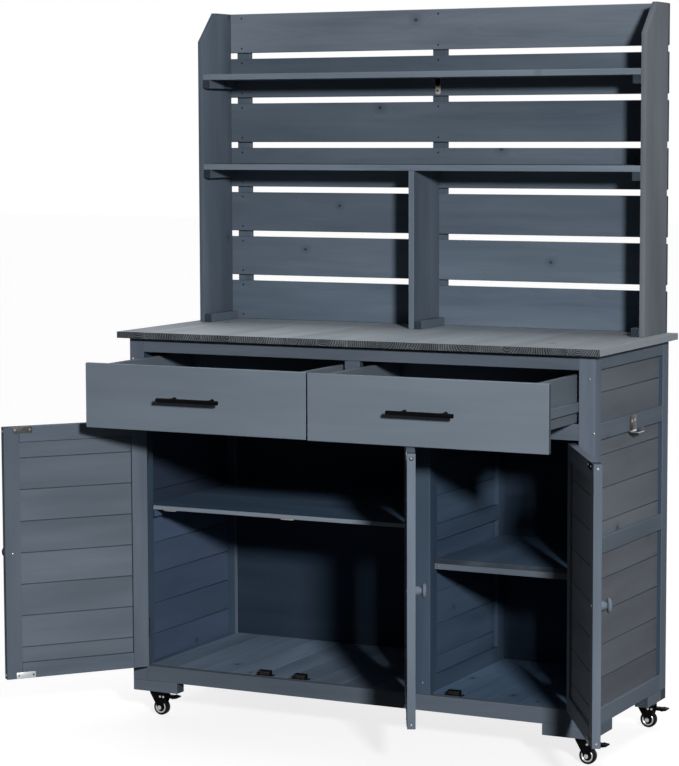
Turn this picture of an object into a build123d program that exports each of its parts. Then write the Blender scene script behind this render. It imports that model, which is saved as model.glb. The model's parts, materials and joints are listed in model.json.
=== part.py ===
"""Potting bench on casters: a two-compartment cabinet with two drawers, a worktop and a slatted hutch.

Millimetres. +Z is up, the front faces -Y, and the origin is on the floor under the middle of the cabinet.
The rest pose has the drawers pulled out and the doors open; zero on each joint is that pose.
"""

import os
from math import cos, degrees, atan2, radians, sin

from build123d import *

os.makedirs("parts", exist_ok=True)

# Clearances between neighbouring pieces
seam = 0.4  # between boards laid side by side
joint_gap = 0.2  # between pieces that butt together in one group
running_gap = 0.05  # radial, between a pin and its bore
screw_gap = 0.1  # radial, around a screw

# Cabinet
cabinet_width = 1160.0
cabinet_depth = 465.0
cabinet_bottom = 88.0
post_width = 37.0
post_depth = 38.0
mid_post_width = 36.0
mid_stile_width = 37.0
face_thickness = 20.0  # front rails and the stiles between them
top_rail_height = 33.0
rail_height = 36.0  # drawer rail, bottom rail and raised side rails
drawer_opening_height = 116.0
shelf_rail_drop = 250.0  # from the top of the drawer rail to the raised rail half way up each side

# Worktop
worktop_height = 914.0
worktop_thickness = 15.0
worktop_side_overhang = 20.0
worktop_front_overhang = 25.0
worktop_back_overhang = 6.0
worktop_board_count = 16

# Sides, back and floor
side_board_thickness = 10.0
side_rail_thickness = 9.0
board_pitch = 73.0
upper_first_board = 82.0
middle_first_board = 49.0
lower_first_board = 98.0
back_panel_thickness = 6.0
back_rail_thickness = 18.0
floor_thickness = 10.0
floor_board_count = 15
bearer_size = 18.0

# Foot blocks
foot_size = 119.0
foot_depth = 32.0
foot_height = 25.0

# Shelves inside the cabinet
shelf_thickness = 10.0
shelf_inset = 4.5  # from the corner posts to the shelves' front and back edges
right_shelf_drop = 74.0  # from the left shelf to the right one
shelf_batten_height = 14.0
shelf_batten_depth = 18.0
clip_length = 33.0
clip_depth = 12.0
clip_thickness = 2.0
clip_places = (0.08, 0.51)  # shares of the left shelf's length

# Doors
door_gap = 2.4
door_top_gap = 4.5
door_thickness = 18.0
door_stile_width = 37.0
door_board_thickness = 8.0
left_opening_angle = 128.5
middle_opening_angle = 116.2
right_opening_angle = 120.4
strike_length = 46.0
strike_height = 15.0
strike_thickness = 1.2
strike_inset = 45.0  # from the door's free edge to the middle of the strike
catch_length = 45.0
catch_height = 12.0
catch_depth = 14.0
catch_gap = 0.9
hinge_inset = 60.0  # from the door's end to the hinge
hinge_height = 50.0
hinge_leaf = 1.0
hinge_leaf_depth = 16.0
knuckle_radius = 3.0
knuckle_face_gap = 0.2
hinge_pin_radius = 1.5
knob_radius = 16.0
knob_neck_radius = 6.5
knob_base_radius = 10.0
knob_neck_length = 12.0
knob_head_length = 12.0

# Drawers
drawer_front_gap = 8.0
drawer_front_margin = 14.0
drawer_front_height = 147.0
drawer_front_thickness = 12.0
drawer_front_drop = 40.8  # worktop underside to the top of a drawer front
left_drawer_pull = 203.0
right_drawer_pull = 213.0
drawer_side_thickness = 12.0
drawer_side_height = 104.0
drawer_length = 400.0
drawer_lift = 0.8  # between the drawer rail and the drawer sides
drawer_bottom_thickness = 5.0
drawer_bottom_lift = 8.0
runner_thickness = 9.0
runner_height = 21.0
runner_lift = 25.0  # from the bottom of a drawer side to its runner
runner_side_gap = 1.5
guide_gap = 0.6
guide_side_gap = 1.0
guide_height = 17.0
handle_length = 156.0
handle_radius = 5.0
handle_post_spacing = 96.0
handle_post_radius = 4.0
handle_reach = 30.0

# Hutch
hutch_inset = 26.0  # from the worktop's ends to the hutch sides
hutch_side_thickness = 13.0
hutch_side_depth = 142.5
slat_count = 7
slat_height = 95.0
slat_gap = 14.0
slat_thickness = 10.0
hutch_batten_width = 37.0
hutch_batten_thickness = 12.0
hutch_batten_inset = 11.0
corner_cut_depth = 67.5
corner_cut_height = 71.0
hutch_shelf_thickness = 14.0
top_shelf_height = 600.0
middle_shelf_height = 384.0
divider_thickness = 14.0
divider_offset = -4.0
cleat_size = 20.0
cleat_length = 130.0
bracket_leg = 38.0
bracket_width = 14.0
bracket_thickness = 2.0
screw_radius = 1.8
screw_head_radius = 3.6
screw_length = 28.0
screw_front_inset = 20.0
screw_back_inset = 20.0

# Tool hook on the right side
hook_plate_width = 38.0
hook_plate_height = 38.0
hook_plate_drop = 1.5  # from the top of the raised rail
hook_sheet = 2.0
hook_reach = 20.0
hook_lip = 12.0

# Casters
caster_inset = 40.0
caster_plate_size = 44.0
caster_plate_thickness = 2.0
caster_cup_radius = 12.0
caster_cup_height = 4.0
kingpin_radius = 4.0
kingpin_head_radius = 6.5
kingpin_head_height = 1.6
swivel_gap = 0.4
fork_sheet = 3.0
fork_leg_sheet = 1.8
fork_front = 12.0
fork_back = 29.0
wheel_radius = 19.0
wheel_width = 17.0
wheel_side_gap = 2.0
wheel_trail = 14.0
tyre_thickness = 5.5
tyre_gap = 0.2
tyre_round = 3.0
axle_radius = 3.0
axle_head_radius = 5.0
axle_head_height = 1.4
pedal_pivot_forward = 24.0
pedal_pivot_height = 46.0
pedal_pin_radius = 2.0
pedal_hub_radius = 4.0
pedal_tip = 60.0
pedal_thickness = 7.0
pedal_tip_thickness = 2.4
pedal_arm_width = 15.0
pedal_pad_width = 22.0
pedal_pad_length = 14.0

# Heights and depths that follow from the sizes above
half_width = cabinet_width / 2
front = -cabinet_depth / 2
back = cabinet_depth / 2
post_side = half_width - post_width
post_front_end = front + post_depth
post_back_end = back - post_depth
shelf_front = post_front_end + shelf_inset
shelf_back = post_back_end - shelf_inset
face_back = front + face_thickness
worktop_underside = worktop_height - worktop_thickness
worktop_front = front - worktop_front_overhang
worktop_back = back + worktop_back_overhang
worktop_half = half_width + worktop_side_overhang
top_rail_bottom = worktop_underside - top_rail_height
drawer_rail_top = top_rail_bottom - drawer_opening_height
drawer_rail_bottom = drawer_rail_top - rail_height
shelf_rail_top = drawer_rail_top - shelf_rail_drop
shelf_rail_bottom = shelf_rail_top - rail_height
bottom_rail_top = cabinet_bottom + rail_height
side_wall = half_width - side_rail_thickness - side_board_thickness
back_panel_front = back - back_rail_thickness - back_panel_thickness
floor_top = bottom_rail_top
floor_bottom = floor_top - floor_thickness

door_width = (cabinet_width - 2 * post_width - mid_post_width - 5 * door_gap) / 3
door_bottom = bottom_rail_top + door_gap
door_top = drawer_rail_bottom - door_top_gap
mid_post_left = -post_side + 2 * door_width + 3 * door_gap
mid_post_right = mid_post_left + mid_post_width
partition_thickness = 2 * side_rail_thickness
partition_left = (mid_post_left + mid_post_right - partition_thickness) / 2
partition_right = partition_left + partition_thickness
partition_board_right = partition_left + side_rail_thickness


def slab(plane, x_span, y_span, z_span):
    """Add a square-edged board between three pairs of limits, in the plane's own axes."""
    x_low, x_high = sorted(x_span)
    y_low, y_high = sorted(y_span)
    with BuildSketch(plane.offset(z_span[0])) as outline:
        with Locations(((x_low + x_high) / 2, (y_low + y_high) / 2)):
            Rectangle(x_high - x_low, y_high - y_low)
    extrude(outline.sketch, amount=z_span[1] - z_span[0])


def rod(plane, radius, length, bore=0.0):
    """Add a round bar, or a tube, that starts on the plane and runs along its normal."""
    with BuildSketch(plane) as outline:
        Circle(radius)
        if bore:
            Circle(bore, mode=Mode.SUBTRACT)
    extrude(outline.sketch, amount=length)


def courses(low, high, first, pitch):
    """Split a height into boards: the first is as high as given, the others follow the pitch.

    The last board is never lower than a quarter of the pitch.
    """
    edges = [low]
    edge = low + first
    while edge < high - pitch / 4:
        edges.append(edge)
        edge += pitch
    edges.append(high)
    return [(below + seam / 2, above - seam / 2) for below, above in zip(edges, edges[1:])]


def save(name, builder):
    """Label a finished piece and write its STEP file."""
    builder.part.label = name
    export_step(builder.part, f"parts/{name}.step")


# ---------------------------------------------------------------- Worktop

worktop_board_width = 2 * worktop_half / worktop_board_count

with BuildPart() as worktop_boards:
    for index in range(worktop_board_count):
        board_left = -worktop_half + index * worktop_board_width
        slab(
            Plane.XY,
            (board_left + seam / 2, board_left + worktop_board_width - seam / 2),
            (worktop_front, worktop_back),
            (worktop_underside, worktop_height),
        )
save("worktop_boards", worktop_boards)

# ---------------------------------------------------------------- Cabinet frame

with BuildPart() as cabinet_posts:
    for side in (-1, 1):
        for y_span in ((front, post_front_end), (post_back_end, back)):
            x_span = (side * post_side, side * half_width)
            slab(Plane.XY, x_span, y_span, (cabinet_bottom, worktop_underside))
save("cabinet_posts", cabinet_posts)

with BuildPart() as face_frame:
    slab(Plane.XY, (-post_side, post_side), (front, face_back), (top_rail_bottom, worktop_underside))
    slab(Plane.XY, (-post_side, post_side), (front, face_back), (drawer_rail_bottom, drawer_rail_top))
    slab(Plane.XY, (-post_side, post_side), (front, face_back), (cabinet_bottom, bottom_rail_top))
    slab(
        Plane.XY,
        (-mid_stile_width / 2, mid_stile_width / 2),
        (front, face_back),
        (drawer_rail_top + joint_gap, top_rail_bottom - joint_gap),
    )
    slab(
        Plane.XY,
        (mid_post_left, mid_post_right),
        (front, face_back),
        (bottom_rail_top + joint_gap, drawer_rail_bottom - joint_gap),
    )
save("face_frame", face_frame)

side_rail_spans = (
    (cabinet_bottom, bottom_rail_top),
    (shelf_rail_bottom, shelf_rail_top),
    (drawer_rail_bottom, drawer_rail_top),
    (top_rail_bottom, worktop_underside),
)
lower_panel_top = (shelf_rail_bottom + shelf_rail_top) / 2
middle_panel_top = (drawer_rail_bottom + drawer_rail_top) / 2
side_courses = (
    courses(cabinet_bottom, lower_panel_top, lower_first_board, board_pitch)
    + courses(lower_panel_top, middle_panel_top, middle_first_board, board_pitch)
    + courses(middle_panel_top, worktop_underside, upper_first_board, board_pitch)
)

side_board_outer = half_width - side_rail_thickness

with BuildPart() as side_rails:
    for side in (-1, 1):
        for z_span in side_rail_spans:
            slab(
                Plane.XY,
                (side * side_board_outer, side * half_width),
                (post_front_end, post_back_end),
                z_span,
            )
save("side_rails", side_rails)

with BuildPart() as side_boards:
    for side in (-1, 1):
        for z_span in side_courses:
            slab(
                Plane.XY,
                (side * side_wall, side * side_board_outer),
                (post_front_end, post_back_end),
                z_span,
            )
save("side_boards", side_boards)

with BuildPart() as back_panel:
    slab(
        Plane.XY,
        (-post_side, post_side),
        (back_panel_front, back_panel_front + back_panel_thickness),
        (cabinet_bottom, worktop_underside),
    )
save("back_panel", back_panel)

with BuildPart() as back_rails:
    for z_span in (side_rail_spans[0], side_rail_spans[1], side_rail_spans[3]):
        slab(Plane.XY, (-post_side, post_side), (back - back_rail_thickness, back), z_span)
save("back_rails", back_rails)

foot_span = (cabinet_bottom - foot_height, cabinet_bottom)

with BuildPart() as foot_blocks:
    for side in (-1, 1):
        for face, inward in ((front, 1), (back, -1)):
            slab(
                Plane.XY,
                (side * (half_width - foot_size), side * half_width),
                (face, face + inward * foot_depth),
                foot_span,
            )
            slab(
                Plane.XY,
                (side * (half_width - foot_depth), side * half_width),
                (face + inward * (foot_depth + joint_gap), face + inward * foot_size),
                foot_span,
            )
save("foot_blocks", foot_blocks)

# ---------------------------------------------------------------- Floor, partition and shelves

floor_board_width = 2 * post_side / floor_board_count

with BuildPart() as floor_boards:
    for index in range(floor_board_count):
        board_left = -post_side + index * floor_board_width
        slab(
            Plane.XY,
            (board_left + seam / 2, board_left + floor_board_width - seam / 2),
            (face_back, back_panel_front),
            (floor_bottom, floor_top),
        )
save("floor_boards", floor_boards)

partition_post_spans = (
    (face_back, face_back + post_depth),
    (back_panel_front - post_depth, back_panel_front),
)
partition_inner = (partition_post_spans[0][1], partition_post_spans[1][0])

with BuildPart() as partition_frame:
    for y_span in partition_post_spans:
        slab(Plane.XY, (partition_left, partition_right), y_span, (floor_top, drawer_rail_bottom))
    for z_span in (
        (floor_top, floor_top + rail_height),
        (shelf_rail_bottom, shelf_rail_top),
        (drawer_rail_bottom - rail_height, drawer_rail_bottom),
    ):
        slab(
            Plane.XY,
            (partition_board_right + joint_gap, partition_right),
            (partition_inner[0] + joint_gap, partition_inner[1] - joint_gap),
            z_span,
        )
save("partition_frame", partition_frame)

with BuildPart() as partition_boards:
    for z_span in courses(floor_top, drawer_rail_bottom, board_pitch, board_pitch):
        slab(Plane.XY, (partition_left, partition_board_right), partition_inner, z_span)
save("partition_boards", partition_boards)

shelf_underside = shelf_rail_top - shelf_thickness
left_shelf_span = (-side_wall + joint_gap, partition_left - joint_gap)
right_shelf_top = shelf_rail_top - right_shelf_drop
right_shelf_underside = right_shelf_top - shelf_thickness

with BuildPart() as shelf_left:
    slab(Plane.XY, left_shelf_span, (shelf_front, shelf_back), (shelf_underside, shelf_rail_top))
save("shelf_left", shelf_left)

right_shelf_span = (partition_right + joint_gap, side_wall - joint_gap)

with BuildPart() as shelf_right:
    slab(Plane.XY, right_shelf_span, (shelf_front, shelf_back), (right_shelf_underside, right_shelf_top))
    slab(
        Plane.XY,
        (right_shelf_span[0], post_side - joint_gap),
        (shelf_front, shelf_front + shelf_batten_depth),
        (right_shelf_underside - shelf_batten_height, right_shelf_underside - joint_gap),
    )
save("shelf_right", shelf_right)

with BuildPart() as cabinet_cleats:
    for bearer_front in (face_back, back_panel_front - bearer_size):
        slab(
            Plane.XY,
            (-post_side, post_side),
            (bearer_front, bearer_front + bearer_size),
            (floor_bottom - bearer_size, floor_bottom),
        )
    for side in (-1, 1):
        slab(
            Plane.XY,
            (side * (post_side + joint_gap), side * side_wall),
            (post_front_end, post_back_end),
            (floor_bottom - bearer_size, floor_top),
        )
    cleat_span = (shelf_underside - bearer_size, shelf_underside)
    slab(Plane.XY, (-side_wall, -post_side), (shelf_front, shelf_back), cleat_span)
    slab(Plane.XY, (partition_left - bearer_size, partition_left), (shelf_front, shelf_back), cleat_span)
    cleat_span = (right_shelf_underside - bearer_size, right_shelf_underside)
    slab(Plane.XY, (side_wall, post_side), (shelf_front, shelf_back), cleat_span)
    cleat_right = partition_board_right + bearer_size
    slab(
        Plane.XY,
        (partition_board_right, cleat_right),
        (shelf_front + shelf_batten_depth, partition_inner[1] - joint_gap),
        cleat_span,
    )
save("cabinet_cleats", cabinet_cleats)

# ---------------------------------------------------------------- Drawer guides

opening_inner = mid_stile_width / 2
drawer_side_bottom = drawer_rail_top + drawer_lift
runner_bottom = drawer_side_bottom + runner_lift
runner_top = runner_bottom + runner_height
box_outer = post_side - runner_side_gap - runner_thickness  # outer face of a drawer's outside wall
box_inner = opening_inner + runner_side_gap + runner_thickness  # the same next to the mid stile
guide_spans = (
    (runner_bottom - guide_gap - guide_height, runner_bottom - guide_gap),
    (runner_top + guide_gap, runner_top + guide_gap + guide_height),
)

with BuildPart() as drawer_guides:
    for z_span in guide_spans:
        for side in (-1, 1):
            slab(
                Plane.XY,
                (side * side_wall, side * (box_outer + guide_side_gap)),
                (post_front_end, post_back_end),
                z_span,
            )
        slab(
            Plane.XY,
            (-box_inner + guide_side_gap, box_inner - guide_side_gap),
            (face_back, back_panel_front),
            z_span,
        )
save("drawer_guides", drawer_guides)

# ---------------------------------------------------------------- Drawers

drawer_front_width = (cabinet_width - 2 * drawer_front_margin - drawer_front_gap) / 2
drawer_front_top = worktop_underside - drawer_front_drop
drawer_front_bottom = drawer_front_top - drawer_front_height
drawer_back = front + drawer_length
drawer_bottom_span = (
    drawer_side_bottom + drawer_bottom_lift,
    drawer_side_bottom + drawer_bottom_lift + drawer_bottom_thickness,
)

for name, side, pull in (("left", -1, left_drawer_pull), ("right", 1, right_drawer_pull)):
    drawer_plane = Plane((0, -pull, 0))
    front_inner = side * drawer_front_gap / 2
    front_outer = front_inner + side * drawer_front_width
    near_wall = side * box_inner
    near_span = (near_wall, near_wall + side * drawer_side_thickness)
    far_wall = side * box_outer
    far_span = (far_wall - side * drawer_side_thickness, far_wall)
    wall_span = (drawer_side_bottom, drawer_side_bottom + drawer_side_height)
    inside_span = (near_span[1] + side * joint_gap, far_span[0] - side * joint_gap)

    with BuildPart() as drawer_front:
        slab(
            drawer_plane,
            (front_inner, front_outer),
            (front - drawer_front_thickness, front),
            (drawer_front_bottom, drawer_front_top),
        )
        chamfer(drawer_front.edges().group_by(Axis.Y)[0], length=1.0)
    save(f"drawer_{name}_front", drawer_front)

    with BuildPart() as drawer_box:
        slab(drawer_plane, near_span, (front, drawer_back), wall_span)
        slab(drawer_plane, far_span, (front, drawer_back), wall_span)
        slab(drawer_plane, inside_span, (drawer_back - drawer_side_thickness, drawer_back), wall_span)
        slab(
            drawer_plane,
            inside_span,
            (front, drawer_back - drawer_side_thickness - joint_gap),
            drawer_bottom_span,
        )
        for wall, outward in ((near_wall, -side), (far_wall, side)):
            slab(
                drawer_plane,
                (wall + outward * joint_gap, wall + outward * runner_thickness),
                (front, drawer_back),
                (runner_bottom, runner_top),
            )
    save(f"drawer_{name}_box", drawer_box)

    handle_centre = (front_inner + front_outer) / 2
    handle_height = (drawer_front_bottom + drawer_front_top) / 2
    face_y = front - drawer_front_thickness - pull
    bar_y = face_y - handle_reach

    bar_end = (handle_centre - handle_length / 2, bar_y, handle_height)

    with BuildPart() as drawer_handle:
        rod(Plane(bar_end, x_dir=(0, 1, 0), z_dir=(1, 0, 0)), handle_radius, handle_length)
        chamfer(drawer_handle.edges().filter_by(GeomType.CIRCLE), length=0.8)
        for offset in (-handle_post_spacing / 2, handle_post_spacing / 2):
            post_base = Plane((handle_centre + offset, face_y, handle_height), z_dir=(0, -1, 0))
            rod(post_base, handle_post_radius, handle_reach - handle_radius - joint_gap)
    save(f"drawer_{name}_handle", drawer_handle)

# ---------------------------------------------------------------- Doors

pin_forward = knuckle_radius + knuckle_face_gap  # hinge pin axis in front of the cabinet's face
knuckle_length = (hinge_height - 2 * joint_gap) / 3
hinge_bottoms = (door_bottom + hinge_inset, door_top - hinge_inset - hinge_height)
pin_bore = hinge_pin_radius + running_gap

# name, hinge pin, which way the closed door runs from its pin, opening angle at rest
doors = (
    ("left", -post_side + door_gap / 2, 1, left_opening_angle),
    ("middle", mid_post_left - door_gap / 2, -1, middle_opening_angle),
    ("right", post_side - door_gap / 2, -1, right_opening_angle),
)


# The boards are counted down from the door's top, so the lowest one takes what is left
boards_below_top = door_top - board_pitch - door_bottom - rail_height
door_first_board = (boards_below_top - board_pitch / 4) % board_pitch + board_pitch / 4


def door_plane_at(pin_x, side, opening):
    """Plane with its origin on a hinge pin and its X along the door, opened by an angle in degrees."""
    turn = radians(opening)
    return Plane((pin_x, front - pin_forward, 0), x_dir=(side * cos(turn), -sin(turn), 0), z_dir=(0, 0, 1))


with BuildPart() as hinge_frame_leaves:
    for name, pin_x, side, opening in doors:
        closed = door_plane_at(pin_x, side, 0.0)
        stile_x = -door_gap / 2
        for bottom in hinge_bottoms:
            for level in (bottom, bottom + 2 * (knuckle_length + joint_gap)):
                knuckle_plane = closed.offset(level)
                rod(knuckle_plane, knuckle_radius, knuckle_length)
                slab(
                    closed,
                    (stile_x, stile_x + hinge_leaf),
                    (0, side * (pin_forward + hinge_leaf_depth)),
                    (level, level + knuckle_length),
                )
            slab(
                closed,
                (stile_x, stile_x + hinge_leaf),
                (side * pin_forward, side * (pin_forward + hinge_leaf_depth)),
                (bottom, bottom + hinge_height),
            )
            with Locations(closed.offset(bottom + hinge_height / 2)):
                Cylinder(pin_bore, hinge_height, mode=Mode.SUBTRACT)
save("hinge_frame_leaves", hinge_frame_leaves)

for name, pin_x, side, opening in doors:
    plane = door_plane_at(pin_x, side, opening)
    near_edge = door_gap / 2
    free_edge = near_edge + door_width
    outer_face = side * pin_forward
    inner_face = side * (pin_forward + door_thickness)
    board_recess = (door_thickness - door_board_thickness) / 2
    board_faces = (outer_face + side * board_recess, inner_face - side * board_recess)
    frame_span = (near_edge + door_stile_width, free_edge - door_stile_width)

    with BuildPart() as door_frame:
        for x_span in ((near_edge, frame_span[0]), (frame_span[1], free_edge)):
            slab(plane, x_span, (outer_face, inner_face), (door_bottom, door_top))
        for z_span in ((door_bottom, door_bottom + rail_height), (door_top - rail_height, door_top)):
            slab(
                plane,
                (frame_span[0] + joint_gap, frame_span[1] - joint_gap),
                (outer_face, inner_face),
                z_span,
            )
    save(f"door_{name}_frame", door_frame)

    with BuildPart() as door_boards:
        opening_bottom = door_bottom + rail_height
        for z_span in courses(opening_bottom, door_top - rail_height, door_first_board, board_pitch):
            slab(plane, frame_span, board_faces, z_span)
    save(f"door_{name}_boards", door_boards)

    with BuildPart() as door_hardware:
        strike_middle = free_edge - strike_inset
        for level in (door_bottom + joint_gap, door_top - strike_height - joint_gap):
            slab(
                plane,
                (strike_middle - strike_length / 2, strike_middle + strike_length / 2),
                (inner_face, inner_face + side * strike_thickness),
                (level, level + strike_height),
            )
        for bottom in hinge_bottoms:
            middle = bottom + knuckle_length + joint_gap
            rod(plane.offset(middle), knuckle_radius, knuckle_length)
            slab(
                plane,
                (near_edge - hinge_leaf, near_edge),
                (0, side * (pin_forward + hinge_leaf_depth)),
                (middle, middle + knuckle_length),
            )
            slab(
                plane,
                (near_edge - hinge_leaf, near_edge),
                (side * pin_forward, side * (pin_forward + hinge_leaf_depth)),
                (bottom, bottom + hinge_height),
            )
            with Locations(plane.offset(bottom + hinge_height / 2)):
                Cylinder(pin_bore, hinge_height, mode=Mode.SUBTRACT)
            rod(plane.offset(bottom), hinge_pin_radius, hinge_height)
    save(f"door_{name}_hardware", door_hardware)

    knob_point = plane.from_local_coords(
        (free_edge - door_stile_width / 2, outer_face, (door_bottom + door_top) / 2)
    )
    outward = plane.y_dir * -side
    profile_plane = Plane(knob_point, x_dir=(0, 0, 1), z_dir=plane.z_dir.cross(outward))
    knob_length = knob_neck_length + knob_head_length

    with BuildPart() as door_knob:
        with BuildSketch(profile_plane) as turning:
            with BuildLine():
                Polyline((0, knob_length), (0, 0), (knob_base_radius, 0))
                Spline(
                    (knob_base_radius, 0),
                    (knob_neck_radius, knob_neck_length),
                    (knob_radius, knob_neck_length + knob_head_length * 0.5),
                    (0, knob_length),
                    tangents=((0, 1), (0, 1), (0, 1), (-1, 0)),
                )
            make_face()
        revolve(turning.sketch, axis=Axis(knob_point, outward))
    save(f"door_{name}_knob", door_knob)

with BuildPart() as door_catches:
    catch_front = front + door_thickness + strike_thickness + catch_gap
    for name, pin_x, side, opening in doors:
        middle = pin_x + side * (door_gap / 2 + door_width - strike_inset)
        catch_span = (middle - catch_length / 2, middle + catch_length / 2)
        slab(
            Plane.XY,
            catch_span,
            (catch_front, catch_front + catch_depth),
            (floor_top, floor_top + catch_height),
        )
        slab(
            Plane.XY,
            catch_span,
            (face_back, face_back + catch_depth),
            (door_top - catch_height, drawer_rail_bottom + catch_height),
        )
save("door_catches", door_catches)

# ---------------------------------------------------------------- Hutch

hutch_half = worktop_half - hutch_inset
hutch_inner = hutch_half - hutch_side_thickness
slat_back = worktop_back
slat_front = slat_back - slat_thickness
hutch_front = slat_front - hutch_side_depth
hutch_height = slat_count * slat_height + (slat_count - 1) * slat_gap
hutch_top = worktop_height + hutch_height
top_shelf_top = worktop_height + top_shelf_height
middle_shelf_top = worktop_height + middle_shelf_height
cleat_levels = (
    top_shelf_top - hutch_shelf_thickness - cleat_size,
    middle_shelf_top - hutch_shelf_thickness - cleat_size,
    worktop_height,
)
screw_depths = (hutch_front + screw_front_inset, hutch_front + cleat_length - screw_back_inset)
screw_points = [(y, level + cleat_size / 2) for level in cleat_levels for y in screw_depths]
hole_radius = screw_radius + screw_gap
sink_radius = screw_head_radius + 2 * screw_gap


def side_plane(side, x):
    """Plane on a side face, looking outwards, with its X along +Y and its Y along +Z on the right side."""
    return Plane((side * x, 0, 0), x_dir=(0, side, 0), z_dir=(side, 0, 0))


def screw_locations(side):
    """Screw positions in the axes of side_plane."""
    return [(side * y, z) for y, z in screw_points]


for name, side in (("left", -1), ("right", 1)):
    outer_plane = side_plane(side, hutch_half)
    with BuildPart() as hutch_side:
        with BuildSketch(side_plane(side, hutch_inner)) as outline:
            with BuildLine():
                Polyline(
                    (side * hutch_front, worktop_height),
                    (side * slat_front, worktop_height),
                    (side * slat_front, hutch_top),
                    (side * (hutch_front + corner_cut_depth), hutch_top),
                    (side * hutch_front, hutch_top - corner_cut_height),
                    close=True,
                )
            make_face()
        extrude(outline.sketch, amount=hutch_side_thickness)
        with Locations(outer_plane):
            with Locations(screw_locations(side)):
                CounterSinkHole(hole_radius, sink_radius, depth=hutch_side_thickness, counter_sink_angle=90)
    save(f"hutch_side_{name}", hutch_side)

with BuildPart() as hutch_slats:
    for index in range(slat_count):
        slat_bottom = worktop_height + index * (slat_height + slat_gap)
        slab(
            Plane.XY,
            (-hutch_half, hutch_half),
            (slat_front, slat_back),
            (slat_bottom, slat_bottom + slat_height),
        )
save("hutch_slats", hutch_slats)

batten_centre = hutch_inner - hutch_batten_inset - hutch_batten_width / 2
batten_inset_end = slat_gap / 2

with BuildPart() as hutch_battens:
    for centre in (-batten_centre, 0.0, batten_centre):
        slab(
            Plane.XY,
            (centre - hutch_batten_width / 2, centre + hutch_batten_width / 2),
            (slat_back, slat_back + hutch_batten_thickness),
            (worktop_height + batten_inset_end, hutch_top - batten_inset_end),
        )
save("hutch_battens", hutch_battens)

for name, top in (("top", top_shelf_top), ("middle", middle_shelf_top)):
    with BuildPart() as hutch_shelf:
        slab(
            Plane.XY,
            (-hutch_inner, hutch_inner),
            (hutch_front, slat_front),
            (top - hutch_shelf_thickness, top),
        )
    save(f"hutch_shelf_{name}", hutch_shelf)

divider_left = divider_offset - divider_thickness / 2
divider_right = divider_offset + divider_thickness / 2

with BuildPart() as hutch_divider:
    slab(
        Plane.XY,
        (divider_left, divider_right),
        (hutch_front, slat_front),
        (worktop_height, middle_shelf_top - hutch_shelf_thickness),
    )
save("hutch_divider", hutch_divider)

with BuildPart() as hutch_cleats:
    for side in (-1, 1):
        for level in cleat_levels:
            slab(
                Plane.XY,
                (side * (hutch_inner - cleat_size), side * hutch_inner),
                (hutch_front, hutch_front + cleat_length),
                (level, level + cleat_size),
            )
        with Locations(side_plane(side, hutch_half)):
            with Locations(screw_locations(side)):
                Hole(hole_radius, depth=screw_length + screw_gap)
    slab(
        Plane.XY,
        (divider_right, divider_right + cleat_size),
        (hutch_front, hutch_front + cleat_length),
        (worktop_height, worktop_height + cleat_size),
    )
save("hutch_cleats", hutch_cleats)

head_depth = screw_head_radius - screw_radius
head_taper = -degrees(atan2(screw_head_radius - screw_radius, head_depth))

with BuildPart() as hutch_screws:
    for side in (-1, 1):
        head_top = side_plane(side, hutch_half - screw_gap)
        with BuildSketch(head_top.offset(-screw_length + screw_gap)) as shanks:
            with Locations(screw_locations(side)):
                Circle(screw_radius)
        extrude(shanks.sketch, amount=screw_length - screw_gap)
        with BuildSketch(head_top.offset(-head_depth)) as heads:
            with Locations(screw_locations(side)):
                Circle(screw_radius)
        extrude(heads.sketch, amount=head_depth, taper=head_taper)
save("hutch_screws", hutch_screws)

shelf_bottom = top_shelf_top - hutch_shelf_thickness

with BuildPart() as steel_brackets:
    with BuildSketch(Plane((-bracket_width / 2, 0, 0), x_dir=(0, 1, 0), z_dir=(1, 0, 0))) as angle:
        with BuildLine():
            Polyline(
                (slat_front, shelf_bottom),
                (slat_front - bracket_leg, shelf_bottom),
                (slat_front - bracket_leg, shelf_bottom - bracket_thickness),
                (slat_front - bracket_thickness, shelf_bottom - bracket_thickness),
                (slat_front - bracket_thickness, shelf_bottom - bracket_leg),
                (slat_front, shelf_bottom - bracket_leg),
                close=True,
            )
        make_face()
    extrude(angle.sketch, amount=bracket_width)
    for share in clip_places:
        place = left_shelf_span[0] + share * (left_shelf_span[1] - left_shelf_span[0])
        slab(
            Plane.XY,
            (place - clip_length / 2, place + clip_length / 2),
            (shelf_front, shelf_front + clip_depth),
            (shelf_underside - clip_thickness, shelf_underside),
        )
save("steel_brackets", steel_brackets)

# ---------------------------------------------------------------- Tool hook

hook_top = drawer_rail_top - hook_plate_drop
hook_bottom = hook_top - hook_plate_height
hook_outer = half_width + hook_reach

with BuildPart() as tool_hook:
    with BuildSketch(Plane((0, -hook_plate_width / 2, 0), x_dir=(1, 0, 0), z_dir=(0, -1, 0))) as bend:
        with BuildLine():
            Polyline(
                (half_width, hook_top),
                (half_width, hook_bottom),
                (hook_outer, hook_bottom),
                (hook_outer, hook_bottom + hook_lip),
                (hook_outer - hook_sheet, hook_bottom + hook_lip),
                (hook_outer - hook_sheet, hook_bottom + hook_sheet),
                (half_width + hook_sheet, hook_bottom + hook_sheet),
                (half_width + hook_sheet, hook_top),
                close=True,
            )
        make_face()
    extrude(bend.sketch, amount=-hook_plate_width)
    fillet(tool_hook.edges().filter_by(Axis.Y).sort_by(Axis.Z)[:1], radius=hook_sheet * 0.6)
save("tool_hook", tool_hook)

# ---------------------------------------------------------------- Casters

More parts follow.
